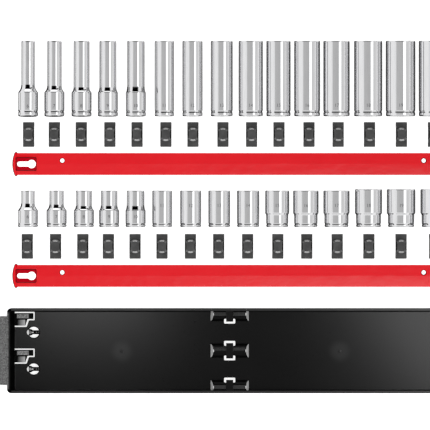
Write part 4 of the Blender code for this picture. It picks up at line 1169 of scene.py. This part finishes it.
# Latches. Each is a tongue sprung from the tray's floor, free on three sides: a grained pad to
# press, and a ramp whose tall end stands behind the rail's arched stop and keeps it home.
LATCH_ROOT_GAP = 0.00003
LATCH_ROOT_RELIEF = 0.00022
LATCH_EDGE = 0.00025
PAD_EDGE = 0.0005
RAMP_EDGE = 0.0002
# Start, length, width and rise
PAD = (0.0018, 0.0101, 0.0038, 0.0030)
# Name, place, aim, sides and watts of the two lamps low over the tray
TRAY_LAMPS = (("tray_near_end", (-0.120, -0.06, 0.34), (-0.120, -0.08, 0), (0.11, 0.07), 0.51),
              ("tray_far_end", (0.185, -0.09, 0.34), (0.170, -0.10, 0), (0.17, 0.07), 0.92))

latches = []
for way, node in ((1, "back_latch"), (-1, "front_latch")):
    lane = tray_middle + way * LANE_OFFSET
    latch = latch_blank(lane, 0, FLOOR_UNDERSIDE, FLOOR_TOP)
    latch.name = node + "_moulding"
    shift_edges(latch, (LATCH_ROOT_GAP, 0, 0), lambda a, b: both_near(a.x, b.x, latch_left))
    # The root's lower edge is eased, so that the pressed tongue clears the floor
    shift_edges(latch, (LATCH_ROOT_RELIEF, 0, 0), lambda a, b: both_near(a.x, b.x, latch_left + LATCH_ROOT_GAP)
                and both_near(a.z, b.z, FLOOR_UNDERSIDE))
    bevel_edges(latch, LATCH_EDGE, 2, lambda a, b: max(a.x, b.x) > latch_left + 0.001
                and both_near(a.z, b.z, FLOOR_TOP))
    front, step, back = (lane + side for side in LATCH_REACH)
    foot = FLOOR_TOP - ROOTED
    start, length, width, rise = PAD
    pad_low = (step + back - width) / 2
    pad = add_block((latch_left + start, pad_low, foot),
                    (latch_left + start + length, pad_low + width, FLOOR_TOP + rise))
    round_edges(pad, PAD_EDGE, 3)
    combine(latch, pad)
    start, end, width, rise = RAMP
    ramp_low = step - width - LATCH_SLIT / 2
    ramp = add_block((latch_left + start, ramp_low, foot), (latch_left + end, ramp_low + width, FLOOR_TOP + rise))
    shift_edges(ramp, (0, 0, 0.0001 - rise), lambda a, b: both_near(a.x, b.x, latch_left + start)
                and min(a.z, b.z) > FLOOR_TOP)
    round_edges(ramp, RAMP_EDGE, 2)
    combine(latch, ramp)
    give_materials(latch, blacks)
    paint_faces(latch, SHADED)
    paint_faces(latch, GRAIN_AND_HIGHLIGHT, lambda middle, normal: middle.z > FLOOR_TOP + 0.0002 and normal.z > 0.5)
    # The ramp's face grows paler towards its tall end
    paint_faces(latch, PALER_RAMP, lambda middle, normal: middle.z > FLOOR_TOP + 0.0001 and normal.z > 0.3
                and middle.y < step - LATCH_SLIT / 4)
    smooth(latch, 32)
    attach(latch, node)
    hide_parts(node)
    latches.append(latch)
for lamp in TRAY_LAMPS:
    gleam_on(hang_lamp(*lamp), [tray, *latches])
